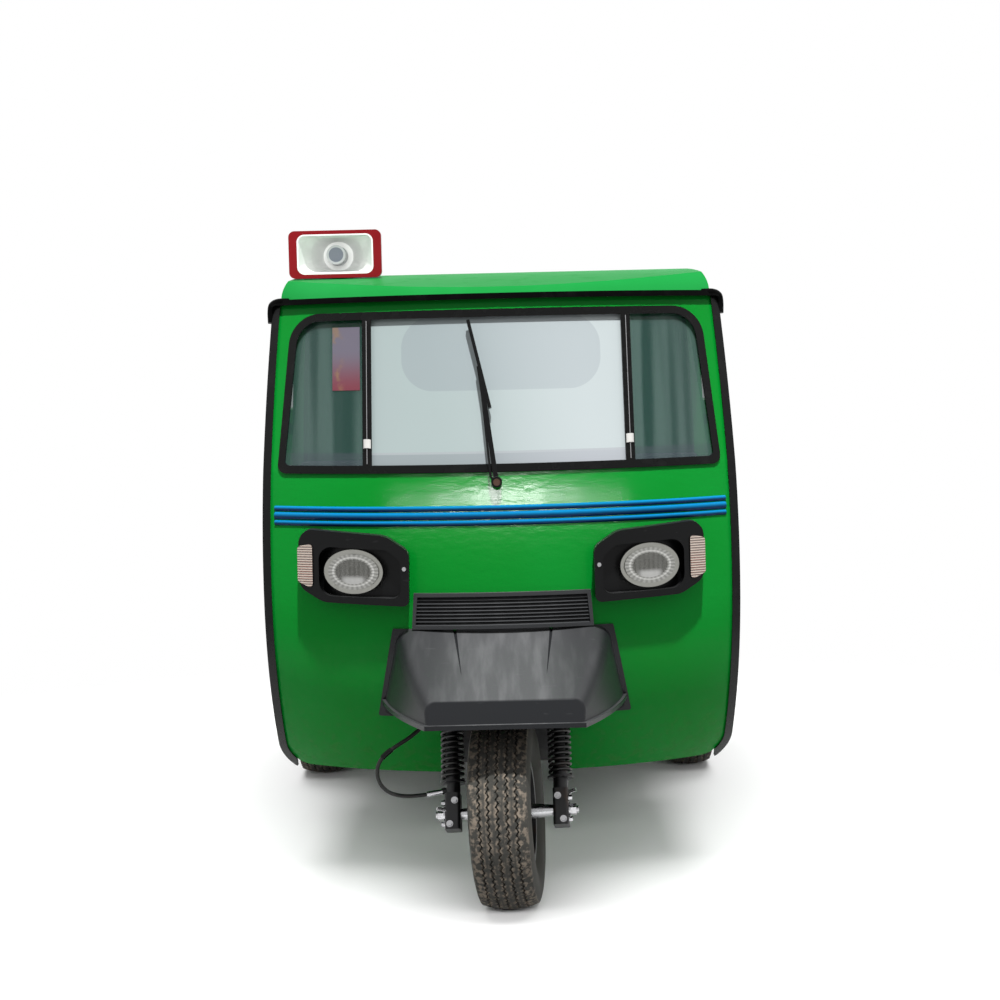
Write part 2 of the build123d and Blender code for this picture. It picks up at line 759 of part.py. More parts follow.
def guard_section(y, foot, top, corner, bottom):
    """A cross-section of the mudguard: leaning sides and a rounded top, flat below."""
    low, high = guard_half(foot, bottom), guard_half(foot, top)
    places = ((low, bottom), (high, top), (-high, top), (-low, bottom))
    points = [Vector(x, at(y), z) for x, z in places]
    hood = FilletPolyline(*points, radius=corner)
    return Face(Wire(hood.edges() + [Edge.make_line(points[-1], points[0])]))


def guard_form(inset, bottom):
    """The mudguard's form moved inwards by inset, cut off in front by its sloping face."""
    faces = []
    for y, foot, top, corner in GUARD_SECTIONS:
        faces.append(guard_section(y, foot - inset, top - inset, corner - inset / 2, bottom))
    form = loft(faces)
    front_y = GUARD_SECTIONS[-1][0]
    slope = (GUARD_CREASE[0] - front_y) / (GUARD_CREASE[1] - GUARD_RIM_Z)
    low, high = GUARD_RIM_Z - FAR / 10, GUARD_RIM_Z + FAR / 10
    start = front_y + inset
    face = side_face(
        [
            (start + (low - GUARD_RIM_Z) * slope, low),
            (start + (high - GUARD_RIM_Z) * slope, high),
            (start - FAR, high),
            (start - FAR, low),
        ]
    )
    return form - across(face, -FAR, FAR)


def guard_lip():
    """The rolled rim round the mudguard's lower edge."""
    right = [Vector(foot + GUARD_LIP_WIDTH, at(y), GUARD_RIM_Z) for y, foot, _, _ in GUARD_SECTIONS]
    right[-1] = right[-1] - Vector(0, GUARD_LIP_WIDTH, 0)
    left = [Vector(-p.X, p.Y, p.Z) for p in right]
    edges = [
        Edge.make_three_point_arc(*right),
        Edge.make_line(right[-1], left[-1]),
        Edge.make_three_point_arc(*reversed(left)),
        Edge.make_line(left[0], right[0]),
    ]
    return extrude(Face(Wire(edges)), amount=GUARD_LIP_HEIGHT, dir=(0, 0, 1))


def guard_flange():
    """The flat edge by which the mudguard lies on the front panel."""
    _, foot, top, corner = GUARD_SECTIONS[0]
    low = guard_half(foot, GUARD_FLANGE_BOTTOM_Z) + GUARD_TAB_WIDTH
    high = guard_half(foot, top) + GUARD_FLANGE_WIDTH
    corners = [(-low, GUARD_FLANGE_BOTTOM_Z), (low, GUARD_FLANGE_BOTTOM_Z), (high, top), (-high, top)]
    radii = [GUARD_WALL, GUARD_WALL, corner, corner]
    plate = rounded_prism([(x, z, r) for (x, z), r in zip(corners, radii)])
    return band(GUARD_FLANGE_THICKNESS, 0, GUARD_FLANGE_BOTTOM_Z, top) & plate


def guard_dart(side):
    """A pressed groove down the mudguard's top that fades out towards the front."""
    back, front = GUARD_SECTIONS[0], GUARD_SECTIONS[-1]
    slope = (back[2] - front[2]) / (back[0] - front[0])
    tip = DART_ROOT - DART_LENGTH
    root_z = back[2] - slope * (back[0] - DART_ROOT)
    tip_z = root_z - slope * DART_LENGTH
    x, end_x = side * DART_ROOT_X, side * DART_TIP_X
    above = DART_DEPTH
    return ConvexPolyhedron(
        [
            (end_x, at(tip), tip_z - SEAT_GAP),
            (end_x, at(tip), tip_z + above),
            (x, at(DART_ROOT), root_z - DART_DEPTH),
            (x - DART_WIDTH / 2, at(DART_ROOT), root_z + above),
            (x + DART_WIDTH / 2, at(DART_ROOT), root_z + above),
        ]
    )


def front_mudguard():
    """The black moulded guard over the front wheel, with a rolled rim and two pressed darts."""
    outer = guard_form(0, GUARD_RIM_Z)
    nose = [e for e in outer.edges() if e.center().Y < at(GUARD_CREASE[0]) + GUARD_WALL]
    outer = fillet([e for e in nose if e.center().Z > GUARD_RIM_Z + 1], GUARD_FILLET)
    inner = guard_form(GUARD_WALL, GUARD_FLANGE_BOTTOM_Z - GUARD_WALL)
    shape = fuse([outer, guard_lip(), guard_flange()]) - inner
    for side in (-1, 1):
        shape = shape - guard_dart(side)
    panel = band(0, GUARD_SECTIONS[0][1], GUARD_FLANGE_BOTTOM_Z - GUARD_WALL, GRILLE_TOP_Z)
    grille = band(GRILLE_PROUD + SEAT_GAP, 0, GRILLE_BOTTOM_Z - SEAT_GAP, GRILLE_TOP_Z)
    return shape - panel - grille


# Wiper


def on_screen(place, outward):
    """A point over the cab's face at a place of the front view."""
    x, z = place
    return Vector(x, plan_depth(x, z, outward), z)


def wiper():
    """The spindle, its knob, the twin-rod arm and the blade on the windscreen."""
    arm_width, arm_thickness = WIPER_ARM
    start = on_screen(WIPER_SPINDLE, WIPER_STANDOFF)
    end = on_screen(WIPER_ARM_END, WIPER_STANDOFF - WIPER_STRUT_RADIUS)
    knob = on_screen(WIPER_SPINDLE, WIPER_STANDOFF + arm_thickness)
    strut = start + Vector(WIPER_STRUT_OFFSET[0], 0, WIPER_STRUT_OFFSET[1])
    blade_ends = [on_screen(p, WIPER_STANDOFF - WIPER_BLADE_SECTION[1] / 2) for p in WIPER_BLADE]
    pieces = [
        rod(on_screen(WIPER_SPINDLE, -arm_thickness), knob, WIPER_SHAFT_RADIUS),
        rod(on_screen(WIPER_SPINDLE, arm_thickness), knob, WIPER_KNOB_RADIUS),
        bar(start, end, arm_width, arm_thickness),
        rod(strut, end, WIPER_STRUT_RADIUS),
        bar(strut, start, arm_thickness, arm_thickness),
        bar(*blade_ends, *WIPER_BLADE_SECTION),
    ]
    return fuse(pieces) - band(0, FAR / 10, SCREEN_BOTTOM_Z - FAR / 20, ROOF_BASE_Z)


# Roof, its edging and the horn on it


def roof_arc():
    """The radius of the roof's side profile, level at the crest and falling to the fascia."""
    run = ROOF_CREST_Y - NOSE_SETBACK - setback(GUTTER_TOP_Z)
    drop = ROOF_CREST_Z - ROOF_FASCIA_Z
    return (run**2 + drop**2) / (2 * drop)


def roof_top(y):
    """The roof's height at a place behind the axle, in front of the crest."""
    radius = roof_arc()
    return ROOF_CREST_Z - radius + sqrt(radius**2 - (ROOF_CREST_Y - y) ** 2)


def roof_plan(inset, low):
    """The roof's plan moved inwards by inset, wider than the roof, drawn upwards."""
    radius = PLAN_RADIUS - setback(GUTTER_TOP_Z) - SEAT_GAP - inset
    centre_y = NOSE_Y + PLAN_RADIUS
    back = at(CAB_BACK) - inset
    wide = HALF_WIDTH_TOP + ROOF_OVERRUN - inset
    wide_y = centre_y - sqrt(radius**2 - wide**2)
    corners = [Vector(x, y, low) for x, y in ((-wide, back), (-wide, wide_y), (wide, wide_y), (wide, back))]
    edges = [
        Edge.make_line(corners[0], corners[1]),
        Edge.make_three_point_arc(corners[1], Vector(0, centre_y - radius, low), corners[2]),
        Edge.make_line(corners[2], corners[3]),
        Edge.make_line(corners[3], corners[0]),
    ]
    return extrude(Face(Wire(edges)), amount=FAR, dir=(0, 0, 1))


def roof_profile(inset, below):
    """The roof's side profile moved inwards by inset, drawn out along X."""
    first = NOSE_SETBACK + setback(GUTTER_TOP_Z) - ROOF_OVERRUN
    heights = [(y, roof_top(y) - inset) for y in (first, (first + ROOF_CREST_Y) / 2, ROOF_CREST_Y)]
    start, middle, crest = (Vector(0, at(y), z) for y, z in heights)
    finish = Vector(0, at(CAB_BACK) + ROOF_OVERRUN, crest.Z - ROOF_BACK_DROP)
    edges = [
        Edge.make_three_point_arc(start, middle, crest),
        Edge.make_line(crest, finish),
        Edge.make_line(finish, Vector(0, finish.Y, below)),
        Edge.make_line(Vector(0, finish.Y, below), Vector(0, start.Y, below)),
        Edge.make_line(Vector(0, start.Y, below), start),
    ]
    return extrude(Face(Wire(edges)), amount=FAR, dir=(1, 0, 0), both=True)


def roof_front(inset, below):
    """The roof's front view moved inwards by inset: upright sides and rounded shoulders."""
    half = HALF_WIDTH_TOP - ROOF_SIDE_INSET - inset
    peak = ROOF_CREST_Z + ROOF_CROWN - inset
    shoulder = ROOF_SHOULDER
    foot = SEAT_GAP
    return rounded_prism(
        [(-half, below, foot), (half, below, foot), (half, peak, shoulder), (-half, peak, shoulder)]
    )


def roof_form(inset):
    """The roof's outer form moved inwards by inset, as one closed solid."""
    low = ROOF_BASE_Z if inset == 0 else ROOF_BASE_Z - ROOF_OVERRUN / 6
    below = low - ROOF_OVERRUN
    return roof_plan(inset, low) & roof_profile(inset, below) & roof_front(inset, below)


def roof_panel():
    """The domed roof pressing, hollow underneath."""
    groove = band(GUTTER_PROUD + ROOF_OVERRUN, GUTTER_DEPTH, ROOF_BASE_Z - SHELL_THICKNESS, GUTTER_TOP_Z)
    return roof_form(0) - roof_form(ROOF_THICKNESS) - groove


def roof_gutter():
    """The black drip edging across the front of the roof and back along both sides."""
    half = HALF_WIDTH_TOP - ROOF_SIDE_INSET
    reach = half + GUTTER_SIDE
    front = band(GUTTER_PROUD, GUTTER_DEPTH, ROOF_BASE_Z, GUTTER_TOP_Z) & slab(-reach, reach)
    start = plan_depth(half, GUTTER_TOP_Z) - GUTTER_DEPTH
    strip = block(half, reach, start, at(CAB_BACK), ROOF_BASE_Z, GUTTER_TOP_Z)
    return fuse([front, strip, mirrored(strip)]) - roof_panel()


def horn_z():
    """The height of the horn's middle, which stands just clear of the roof."""
    return roof_top(HORN_Y) + HORN_LIFT + HORN_HEIGHT / 2


def horn_flare(grow, first=0.0, stop=0.0):
    """The horn's flare, its sections grown by `grow` all round, from its mouth to its throat."""
    sections = []
    for share, width, height, corner in HORN_FLARE:
        y = HORN_Y + share * (HORN_LENGTH - stop) + (first if share == 0 else 0)
        plane = Plane(origin=(HORN_X, at(y), horn_z()), x_dir=(1, 0, 0), z_dir=(0, -1, 0))
        sections.append((plane * RectangleRounded(width + 2 * grow, height + 2 * grow, corner + grow)).face())
    return loft(sections, ruled=True)


def horn_rod(start, end, radius):
    """A round bar on the horn's own axis, between two places behind the axle."""
    return rod((HORN_X, at(start), horn_z()), (HORN_X, at(end), horn_z()), radius)


def horn_shell():
    """The red outer flare with its deep rim and the driver housing behind."""
    plane = Plane(origin=(HORN_X, at(HORN_Y), horn_z()), x_dir=(1, 0, 0), z_dir=(0, 1, 0))
    rim = extrude(plane * RectangleRounded(HORN_WIDTH, HORN_HEIGHT, HORN_CORNER), amount=HORN_RIM_DEPTH)
    end = HORN_Y + HORN_LENGTH
    driver = horn_rod(end - HORN_WALL, end + DRIVER_LENGTH, DRIVER_RADIUS)
    return fuse([rim, horn_flare(HORN_WALL), driver]) - horn_flare(0, stop=HORN_WALL)


def horn_bell():
    """The white inner flare lining the mouth, with the round reflex cap in its middle."""
    liner = horn_flare(0, stop=HORN_WALL) - horn_flare(-HORN_WALL, -SEAT_GAP, 2 * HORN_WALL)
    return liner + horn_rod(HORN_Y + HORN_CAP_START, HORN_Y + HORN_LENGTH - HORN_WALL, HORN_CAP_RADIUS)


def horn_bracket():
    """A steel saddle from the roof to the horn's driver housing."""
    middle = HORN_Y + HORN_LENGTH + DRIVER_LENGTH / 2
    front, back = middle - BRACKET_HALF_DEPTH, middle + BRACKET_HALF_DEPTH
    leg, foot = BRACKET_LEG_HALF_WIDTH, BRACKET_FOOT_HALF_WIDTH
    foot_top = roof_top(middle) + BRACKET_FOOT_HEIGHT
    pieces = [
        horn_rod(front, back, DRIVER_RADIUS + BRACKET_STRAP),
        block(HORN_X - leg, HORN_X + leg, at(front), at(back), ROOF_FASCIA_Z, horn_z()),
        block(HORN_X - foot, HORN_X + foot, at(front), at(back), ROOF_FASCIA_Z, foot_top),
    ]
    return fuse(pieces) - horn_rod(front - 1, back + 1, DRIVER_RADIUS) - roof_form(0)


# Cab floor, wheel housing, back wall and fittings


def inside_shell(shape):
    """A shape cut back to the inner face of the front shell."""
    low, high = PANEL_BOTTOM_Z - SHELL_THICKNESS, SCREEN_BASE_Z
    return shape - band(WELL_BACK, SHELL_THICKNESS + SEAT_GAP, low, high)


def cab_floor():
    """The floor pan with raised sills, notched round the wheel housing."""
    front = block(-FAR, FAR, at(NOSE_SETBACK), at(CAB_BACK), 0, FAR)
    pan = outline(SILL_INSET, RAIL_TOP_LOW_Z, SILL_Z) & front
    pan = pan - outline(SILL_INSET + SILL_WIDTH, FLOOR_Z, FAR)
    well = WELL_HALF_WIDTH + WELL_WALL
    return inside_shell(pan - block(-well, well, -FAR, at(WELL_BACK), 0, FAR))


def wheel_housing():
    """The inner box between the fork and the cab, open below and in front."""
    inner, outer = WELL_HALF_WIDTH, WELL_HALF_WIDTH + WELL_WALL
    box = block(-outer, outer, at(NOSE_SETBACK), at(WELL_BACK), RAIL_TOP_LOW_Z, WELL_TOP_Z)
    box = box - block(-inner, inner, at(0), at(WELL_BACK - WELL_WALL), 0, WELL_TOP_Z - WELL_WALL)
    passage = rod(along(0, HEAD_END), along(0, STEM_END), STEM_RADIUS + STEM_PASSAGE)
    return inside_shell(box) - passage


def window_prism(inset):
    """The rear window's outline moved inwards by inset, drawn out along Y."""
    half = REAR_WINDOW_WIDTH / 2 - inset
    low, high = REAR_WINDOW_BOTTOM_Z + inset, REAR_WINDOW_TOP_Z - inset
    corners = [(-half, low), (half, low), (half, high), (-half, high)]
    return rounded_prism([(x, z, REAR_WINDOW_CORNER - inset) for x, z in corners])


def rear_bulkhead():
    """The cab's back wall with its window and the two door pillars."""
    upper = outline(BEAD_HALF_WIDTH, SILL_Z, ROOF_BASE_Z)
    lower = outline(SILL_INSET + SILL_WIDTH, FLOOR_Z, SILL_Z + 1)
    wall = (upper + lower) & block(-FAR, FAR, at(CAB_BACK - BULKHEAD_THICKNESS), at(CAB_BACK), 0, FAR)
    posts = upper & block(-FAR, FAR, at(CAB_BACK - PILLAR_DEPTH), at(CAB_BACK), 0, FAR)
    posts = posts - outline(BEAD_HALF_WIDTH + PILLAR_WIDTH, 0, FAR)
    return (wall - window_prism(0)) + posts


def rear_window():
    """The pane in the bulkhead, set in the middle of its thickness."""
    middle, half = CAB_BACK - BULKHEAD_THICKNESS / 2, REAR_PANE_THICKNESS / 2
    return window_prism(0) & block(-FAR, FAR, at(middle - half), at(middle + half), 0, FAR)


def dashboard():
    """The shelf behind the windscreen's foot."""
    form = band(-SHELL_THICKNESS - SEAT_GAP, PLAN_RADIUS / 2, DASH_BOTTOM_Z, DASH_TOP_Z)
    half = DASH_HALF_WIDTH
    shelf = form & block(-half, half, at(0), at(DASH_BACK), DASH_BOTTOM_Z, DASH_TOP_Z)
    edge = [e for e in shelf.edges().filter_by(Axis.X) if e.center().Y > at(DASH_BACK) - 1]
    return fillet(edge, DASH_EDGE_RADIUS)


def seat_base():
    """A sheet box on the floor, open below, round the battery."""
    front, back = SEAT_FRONT, CAB_BACK - BULKHEAD_THICKNESS - SEAT_BACK_GAP
    half, wall = SEAT_HALF_WIDTH, SEAT_BASE_WALL
    outer = block(-half, half, at(front), at(back), FLOOR_Z, SEAT_BASE_Z)
    inner = block(-half + wall, half - wall, at(front + wall), at(back - wall), 0, SEAT_BASE_Z - wall)
    return outer - inner


def battery_pack():
    """The traction battery, one plain block under the seat."""
    half = BATTERY_HALF_WIDTH
    front, back = at(SEAT_FRONT + BATTERY_INSET), at(CAB_BACK - BULKHEAD_THICKNESS - BATTERY_INSET)
    return block(-half, half, front, back, FLOOR_Z, SEAT_BASE_Z - BATTERY_HEAD_ROOM)


def cushion(y0, y1, z0, z1):
    """A plain upholstered block with rounded edges."""
    half = SEAT_HALF_WIDTH - CUSHION_SIDE_INSET
    return fillet(block(-half, half, at(y0), at(y1), z0, z1).edges(), CUSHION_RADIUS)


def seat_cushion():
    """The driver's seat squab."""
    z0 = SEAT_BASE_Z + SEAT_GAP
    back = CAB_BACK - BULKHEAD_THICKNESS - BACKREST_THICKNESS - CUSHION_BACK_GAP
    return cushion(SEAT_FRONT - CUSHION_NOSE, back, z0, z0 + CUSHION_THICKNESS)


def seat_backrest():
    """The driver's backrest on the bulkhead."""
    back = CAB_BACK - BULKHEAD_THICKNESS - SEAT_GAP
    return cushion(back - BACKREST_THICKNESS, back, SEAT_BASE_Z + BACKREST_BOTTOM_GAP, BACKREST_TOP_Z)


# Chassis


def rail_sides():
    """The X places of the +X rail's two sides."""
    return RAIL_X - RAIL_WIDTH / 2, RAIL_X + RAIL_WIDTH / 2


def rail():
    """One chassis rail, cranked up behind the cab, on the +X side."""
    low, high, h = RAIL_LOW_Z, RAIL_HIGH_Z, RAIL_HEIGHT
    face = side_face(
        [
            (RAIL_FRONT, low),
            (KICK_START, low),
            (KICK_END, high),
            (RAIL_BACK, high),
            (RAIL_BACK, high + h),
            (KICK_END - KICK_SHIFT, high + h),
            (KICK_START - KICK_SHIFT, low + h),
            (RAIL_FRONT, low + h),
        ]
    )
    return across(face, *rail_sides())


def spring_hangers():
    """Blocks under a rail that carry the leaf spring's eyes, on the +X side."""
    x0, x1 = rail_sides()
    hangers = []
    for reach in (-SPRING_EYE_REACH, SPRING_EYE_REACH):
        y = REAR_AXLE_Y + reach
        hanger = block(x0, x1, y - HANGER_HALF_DEPTH, y + HANGER_HALF_DEPTH, SPRING_EYE_Z, RAIL_HIGH_Z + 1)
        hangers.append(hanger - cross_rod(x0 - 1, x1 + 1, y, SPRING_EYE_Z, SPRING_EYE_RADIUS + SEAT_GAP))
    return hangers


def tip_ears():
    """The round-ended plates and pin at a rail's back end that the box turns on, on the +X side."""
    x0, x1 = rail_sides()
    y, z = at(TIP_PIVOT_Y), TIP_PIVOT_Z
    pieces = [cross_rod(x0 - TIP_EAR_PLATE - PIN_END, x1 + TIP_EAR_PLATE + PIN_END, y, z, TIP_PIN_RADIUS)]
    low = RAIL_HIGH_Z + RAIL_HEIGHT - TIP_EAR_LAP
    for start, end in ((x0 - TIP_EAR_PLATE, x0), (x1, x1 + TIP_EAR_PLATE)):
        root = block(start, end, at(RAIL_BACK - TIP_EAR_REACH), at(RAIL_BACK), low, RAIL_HIGH_Z + RAIL_HEIGHT)
        arm = side_face(
            [
                (RAIL_BACK - TIP_EAR_REACH, RAIL_HIGH_Z + RAIL_HEIGHT),
                (TIP_PIVOT_Y, TIP_PIVOT_Z + TIP_EAR_RADIUS),
                (TIP_PIVOT_Y, TIP_PIVOT_Z - TIP_EAR_RADIUS),
                (RAIL_BACK, low),
                (RAIL_BACK - TIP_EAR_REACH, low),
            ]
        )
        pieces += [root, across(arm, start, end), cross_rod(start, end, y, z, TIP_EAR_RADIUS)]
    return pieces


def steering_head():
    """The head tube, the front cross-member and the box beam between them."""
    tube = rod(along(0, HEAD_START), along(0, HEAD_END), HEAD_RADIUS)
    back, foot = WELL_BACK - HEAD_BEAM_WELL_GAP, CROSS_MEMBERS[0][0]
    face = side_face(
        [
            (HEAD_BEAM_FRONT, HEAD_BEAM_UNDER_Z),
            (HEAD_BEAM_FRONT, HEAD_BEAM_TOP_Z),
            (back, HEAD_BEAM_TOP_Z),
            (back, RAIL_TOP_LOW_Z),
            (foot, RAIL_TOP_LOW_Z),
            (foot, RAIL_LOW_Z),
            (HEAD_BEAM_FOOT, RAIL_LOW_Z),
            (HEAD_BEAM_FOOT, HEAD_BEAM_UNDER_Z),
        ]
    )
    beam = across(face, -HEAD_BEAM_HALF_WIDTH, HEAD_BEAM_HALF_WIDTH)
    margin = 2 * HEAD_RADIUS
    bore = rod(along(0, HEAD_START - margin), along(0, HEAD_END + margin), STEM_RADIUS + RUNNING_CLEARANCE)
    return fuse([tube, beam, cross_member(*CROSS_MEMBERS[0])]) - bore


def ram_bracket():
    """The pair of ears behind a cross-member, with the pin that holds the tipping ram's base."""
    y, z = RAM_BASE
    seat = at(CROSS_MEMBERS[RAM_MEMBER][0] + CROSS_DEPTH / 2)
    inner = RAM_RADIUS + RAM_EAR_GAP
    reach = inner + RAM_EAR + PIN_END
    pieces = [cross_rod(-reach, reach, at(y), z, RAM_PIN_RADIUS)]
    for x0, x1 in ((-inner - RAM_EAR, -inner), (inner, inner + RAM_EAR)):
        pieces.append(block(x0, x1, seat, at(y + RAM_EAR_REACH), z - RAM_EAR_RISE[0], z + RAM_EAR_RISE[1]))
    return fuse(pieces)


def chassis_frame():
    """Both rails, each with its spring hangers and box pivot."""
    return both_sides(fuse([rail()] + spring_hangers() + tip_ears()))


def cross_member(y, raised):
    """A tube between the rails, low or raised; the last one ends at the ears of the box pivot."""
    inner = rail_sides()[0]
    if y + CROSS_DEPTH / 2 > RAIL_BACK - TIP_EAR_REACH:
        inner -= TIP_EAR_PLATE
    z = RAIL_HIGH_Z if raised else RAIL_LOW_Z
    y0, y1 = at(y - CROSS_DEPTH / 2), at(y + CROSS_DEPTH / 2)
    return block(-inner, inner, y0, y1, z, z + RAIL_HEIGHT)


def cross_members():
    """The tubes between the rails behind the steering head."""
    return [cross_member(*place) for place in CROSS_MEMBERS[1:]]


# Rear springs and axle


def leaf(index):
    """One leaf of the +X spring, bowed down to the axle in the side view."""
    reach = LEAF_LENGTHS[index]
    top = SPRING_EYE_Z - index * LEAF_THICKNESS

    def point(y, lower):
        bow = SPRING_SAG * (1 - (y / SPRING_EYE_REACH) ** 2)
        return Vector(0, REAR_AXLE_Y + y, top - bow - lower)

    arcs = []
    for lower in (0, LEAF_THICKNESS):
        arcs.append(Edge.make_three_point_arc(*(point(y, lower) for y in (-reach, 0, reach))))
    ends = [Edge.make_line(point(y, 0), point(y, LEAF_THICKNESS)) for y in (-reach, reach)]
    x0, x1 = RAIL_X - SPRING_WIDTH / 2, RAIL_X + SPRING_WIDTH / 2
    return across(Face(Wire([arcs[0], ends[1], arcs[1], ends[0]])), x0, x1)


def leaf_spring():
    """The +X leaf pack with its eyes and the saddle over the axle."""
    x0, x1 = rail_sides()
    pieces = [leaf(index) for index in range(len(LEAF_LENGTHS))]
    for reach in (-SPRING_EYE_REACH, SPRING_EYE_REACH):
        pieces.append(cross_rod(x0 + 1, x1 - 1, REAR_AXLE_Y + reach, SPRING_EYE_Z, SPRING_EYE_RADIUS))
    half = SPRING_WIDTH / 2 + SADDLE_OVERHANG
    y0, y1 = REAR_AXLE_Y - SADDLE_HALF_DEPTH, REAR_AXLE_Y + SADDLE_HALF_DEPTH
    top = SPRING_EYE_Z - SPRING_SAG + SADDLE_CAP
    pieces.append(block(RAIL_X - half, RAIL_X + half, y0, y1, TYRE_RADIUS + AXLE_RADIUS, top))
    return fuse(pieces)


def rear_axle():
    """The driven axle: housing, differential, motor, brake plates and the spring seats."""
    y, z = REAR_AXLE_Y, TYRE_RADIUS
    end = REAR_TRACK / 2 - HUB_HALF_LENGTH - AXLE_END_GAP
    shaft_end = REAR_TRACK / 2 + HUB_HALF_LENGTH - SHAFT_END_INSET
    motor_end = Vector(0, y - MOTOR_LENGTH, z + MOTOR_RISE)
    back = (motor_end - Vector(0, y, z)).normalized()
    pieces = [
        cross_rod(-end, end, y, z, AXLE_RADIUS),
        cross_rod(-shaft_end, shaft_end, y, z, REAR_SHAFT_RADIUS),
        Pos(0, y, z) * Sphere(CASING_RADIUS),
        rod((0, y, z), motor_end, MOTOR_RADIUS),
        rod(motor_end - back, motor_end + back * MOTOR_CAP, MOTOR_CAP_RADIUS),
    ]
    half = SPRING_WIDTH / 2 + SADDLE_OVERHANG
    for side in (-1, 1):
        pieces.append(cross_rod(side * (end - DRUM_PLATE_THICKNESS), side * end, y, z, DRUM_PLATE_RADIUS))
        x = side * RAIL_X
        y0, y1 = y - SADDLE_HALF_DEPTH, y + SADDLE_HALF_DEPTH
        pieces.append(block(x - half, x + half, y0, y1, z, z + AXLE_RADIUS))
    return fuse(pieces)


# Wheels


def ring(inner, outer, x0, x1):
    """A plain ring about the X axis."""
    return cross_rod(x0, x1, 0, 0, outer) - cross_rod(x0 - 1, x1 + 1, 0, 0, inner)


def tyre():
    """A road tyre turned about the X axis at the origin: bead, sidewall, shoulder and crowned tread."""
    seat = RIM_WIDTH / 2 - FLANGE_THICKNESS
    bead = RIM_RADIUS + FLANGE_HEIGHT + BEAD_GAP
    half = TYRE_WIDTH / 2
    shoulder_x, shoulder_r = half - SHOULDER_INSET, TYRE_RADIUS - SHOULDER_DROP
    waist = (bead + shoulder_r) / 2

    def point(x, r):
        return Vector(x, 0, r)

    edges = [
        Edge.make_line(point(-seat, RIM_RADIUS), point(seat, RIM_RADIUS)),
        Edge.make_line(point(seat, RIM_RADIUS), point(seat, bead)),
        Edge.make_three_point_arc(point(seat, bead), point(half, waist), point(shoulder_x, shoulder_r)),
        Edge.make_three_point_arc(
            point(shoulder_x, shoulder_r), point(0, TYRE_RADIUS), point(-shoulder_x, shoulder_r)
        ),
        Edge.make_three_point_arc(point(-shoulder_x, shoulder_r), point(-half, waist), point(-seat, bead)),
        Edge.make_line(point(-seat, bead), point(-seat, RIM_RADIUS)),
    ]
    return revolve(Face(Wire(edges)), axis=Axis.X, revolution_arc=360)


def around(radius, count, turn):
    """Places round the X axis, as (Y, Z), the first turned by a share of the pitch."""
    angles = [2 * pi * (index + turn) / count for index in range(count)]
    return [(radius * cos(angle), radius * sin(angle)) for angle in angles]


def rim(shaft_radius):
    """A pressed steel wheel about the X axis with its drum, the disc set outboard on the +X side."""
    half, inner = RIM_WIDTH / 2, RIM_RADIUS - RIM_WALL
    face = DISC_OFFSET + DISC_THICKNESS
    disc = ring(HUB_RADIUS - 1, inner + 1, DISC_OFFSET, face)
    for y, z in around(HAND_HOLE_CIRCLE, HAND_HOLES, 0):
        disc = disc - cross_rod(DISC_OFFSET - 1, face + 1, y, z, HAND_HOLE_RADIUS)
    pieces = [
        ring(inner, RIM_RADIUS, -half, half),
        ring(inner, RIM_RADIUS + FLANGE_HEIGHT, -half, -half + FLANGE_THICKNESS),
        ring(inner, RIM_RADIUS + FLANGE_HEIGHT, half - FLANGE_THICKNESS, half),
        disc,
        ring(shaft_radius + RUNNING_CLEARANCE, HUB_RADIUS, -HUB_HALF_LENGTH, HUB_HALF_LENGTH),
        ring(HUB_RADIUS - 1, DRUM_RADIUS, -HUB_HALF_LENGTH + DRUM_INSET, DISC_OFFSET),
    ]
    for y, z in around(STUD_CIRCLE, HAND_HOLES, 0.5):
        pieces.append(cross_rod(DISC_OFFSET, face + STUD_PROUD, y, z, STUD_RADIUS))
    return fuse(pieces)


def place_rear(shape, side):
    """A wheel piece, drawn outboard to +X, at the rear axle's end on the given side."""
    handed = shape if side > 0 else mirrored(shape)
    return Pos(side * REAR_TRACK / 2, REAR_AXLE_Y, TYRE_RADIUS) * handed


def steered(shape):
    """A piece of the steering turned to where it stands at rest."""
    return shape.rotate(STEER_AXIS, REST_STEER_DEG)


def place_front(shape):
    """A wheel piece at the front wheel's centre, steered."""
    return steered(Pos(*WHEEL_CENTRE) * shape)


# Front fork, its springs, spindle, handlebar and hose


def along(x, distance, back=0.0):
    """A point at X and a distance up the steering axis from the wheel's centre, moved back square to it."""
    square = Vector(0, cos(radians(RAKE_DEG)), -sin(radians(RAKE_DEG)))
    return WHEEL_CENTRE + STEER_DIR * distance + square * back + Vector(x, 0, 0)


def steer_plane(x, distance):
    """A plane square to the steering axis."""
    return Plane(origin=along(x, distance), x_dir=(1, 0, 0), z_dir=STEER_DIR)


def fork_leg(x):
    """One leg: slider, tube, both spring seats and the clamp that holds the spindle."""
    low_seat = SPRING_START - SPRING_WIRE
    high_seat = SPRING_END + SPRING_WIRE
    top = CROWN_START + CROWN_THICKNESS + LEG_CAP
    clamp = RectangleRounded(2 * CLAMP_HALF_WIDTH, CLAMP_DEPTH, CLAMP_CORNER)
    return [
        rod(along(x, 0), along(x, LEG_SLIDER_END), LEG_SLIDER_RADIUS),
        rod(along(x, LEG_SLIDER_END - LEG_CAP), along(x, top), LEG_TUBE_RADIUS),
        rod(along(x, low_seat - SPRING_SEAT_THICKNESS), along(x, low_seat), SPRING_SEAT_RADIUS),
        rod(along(x, high_seat), along(x, CROWN_START), SPRING_SEAT_RADIUS),
        extrude(steer_plane(x, -CLAMP_BELOW) * clamp, amount=CLAMP_HEIGHT),
    ]


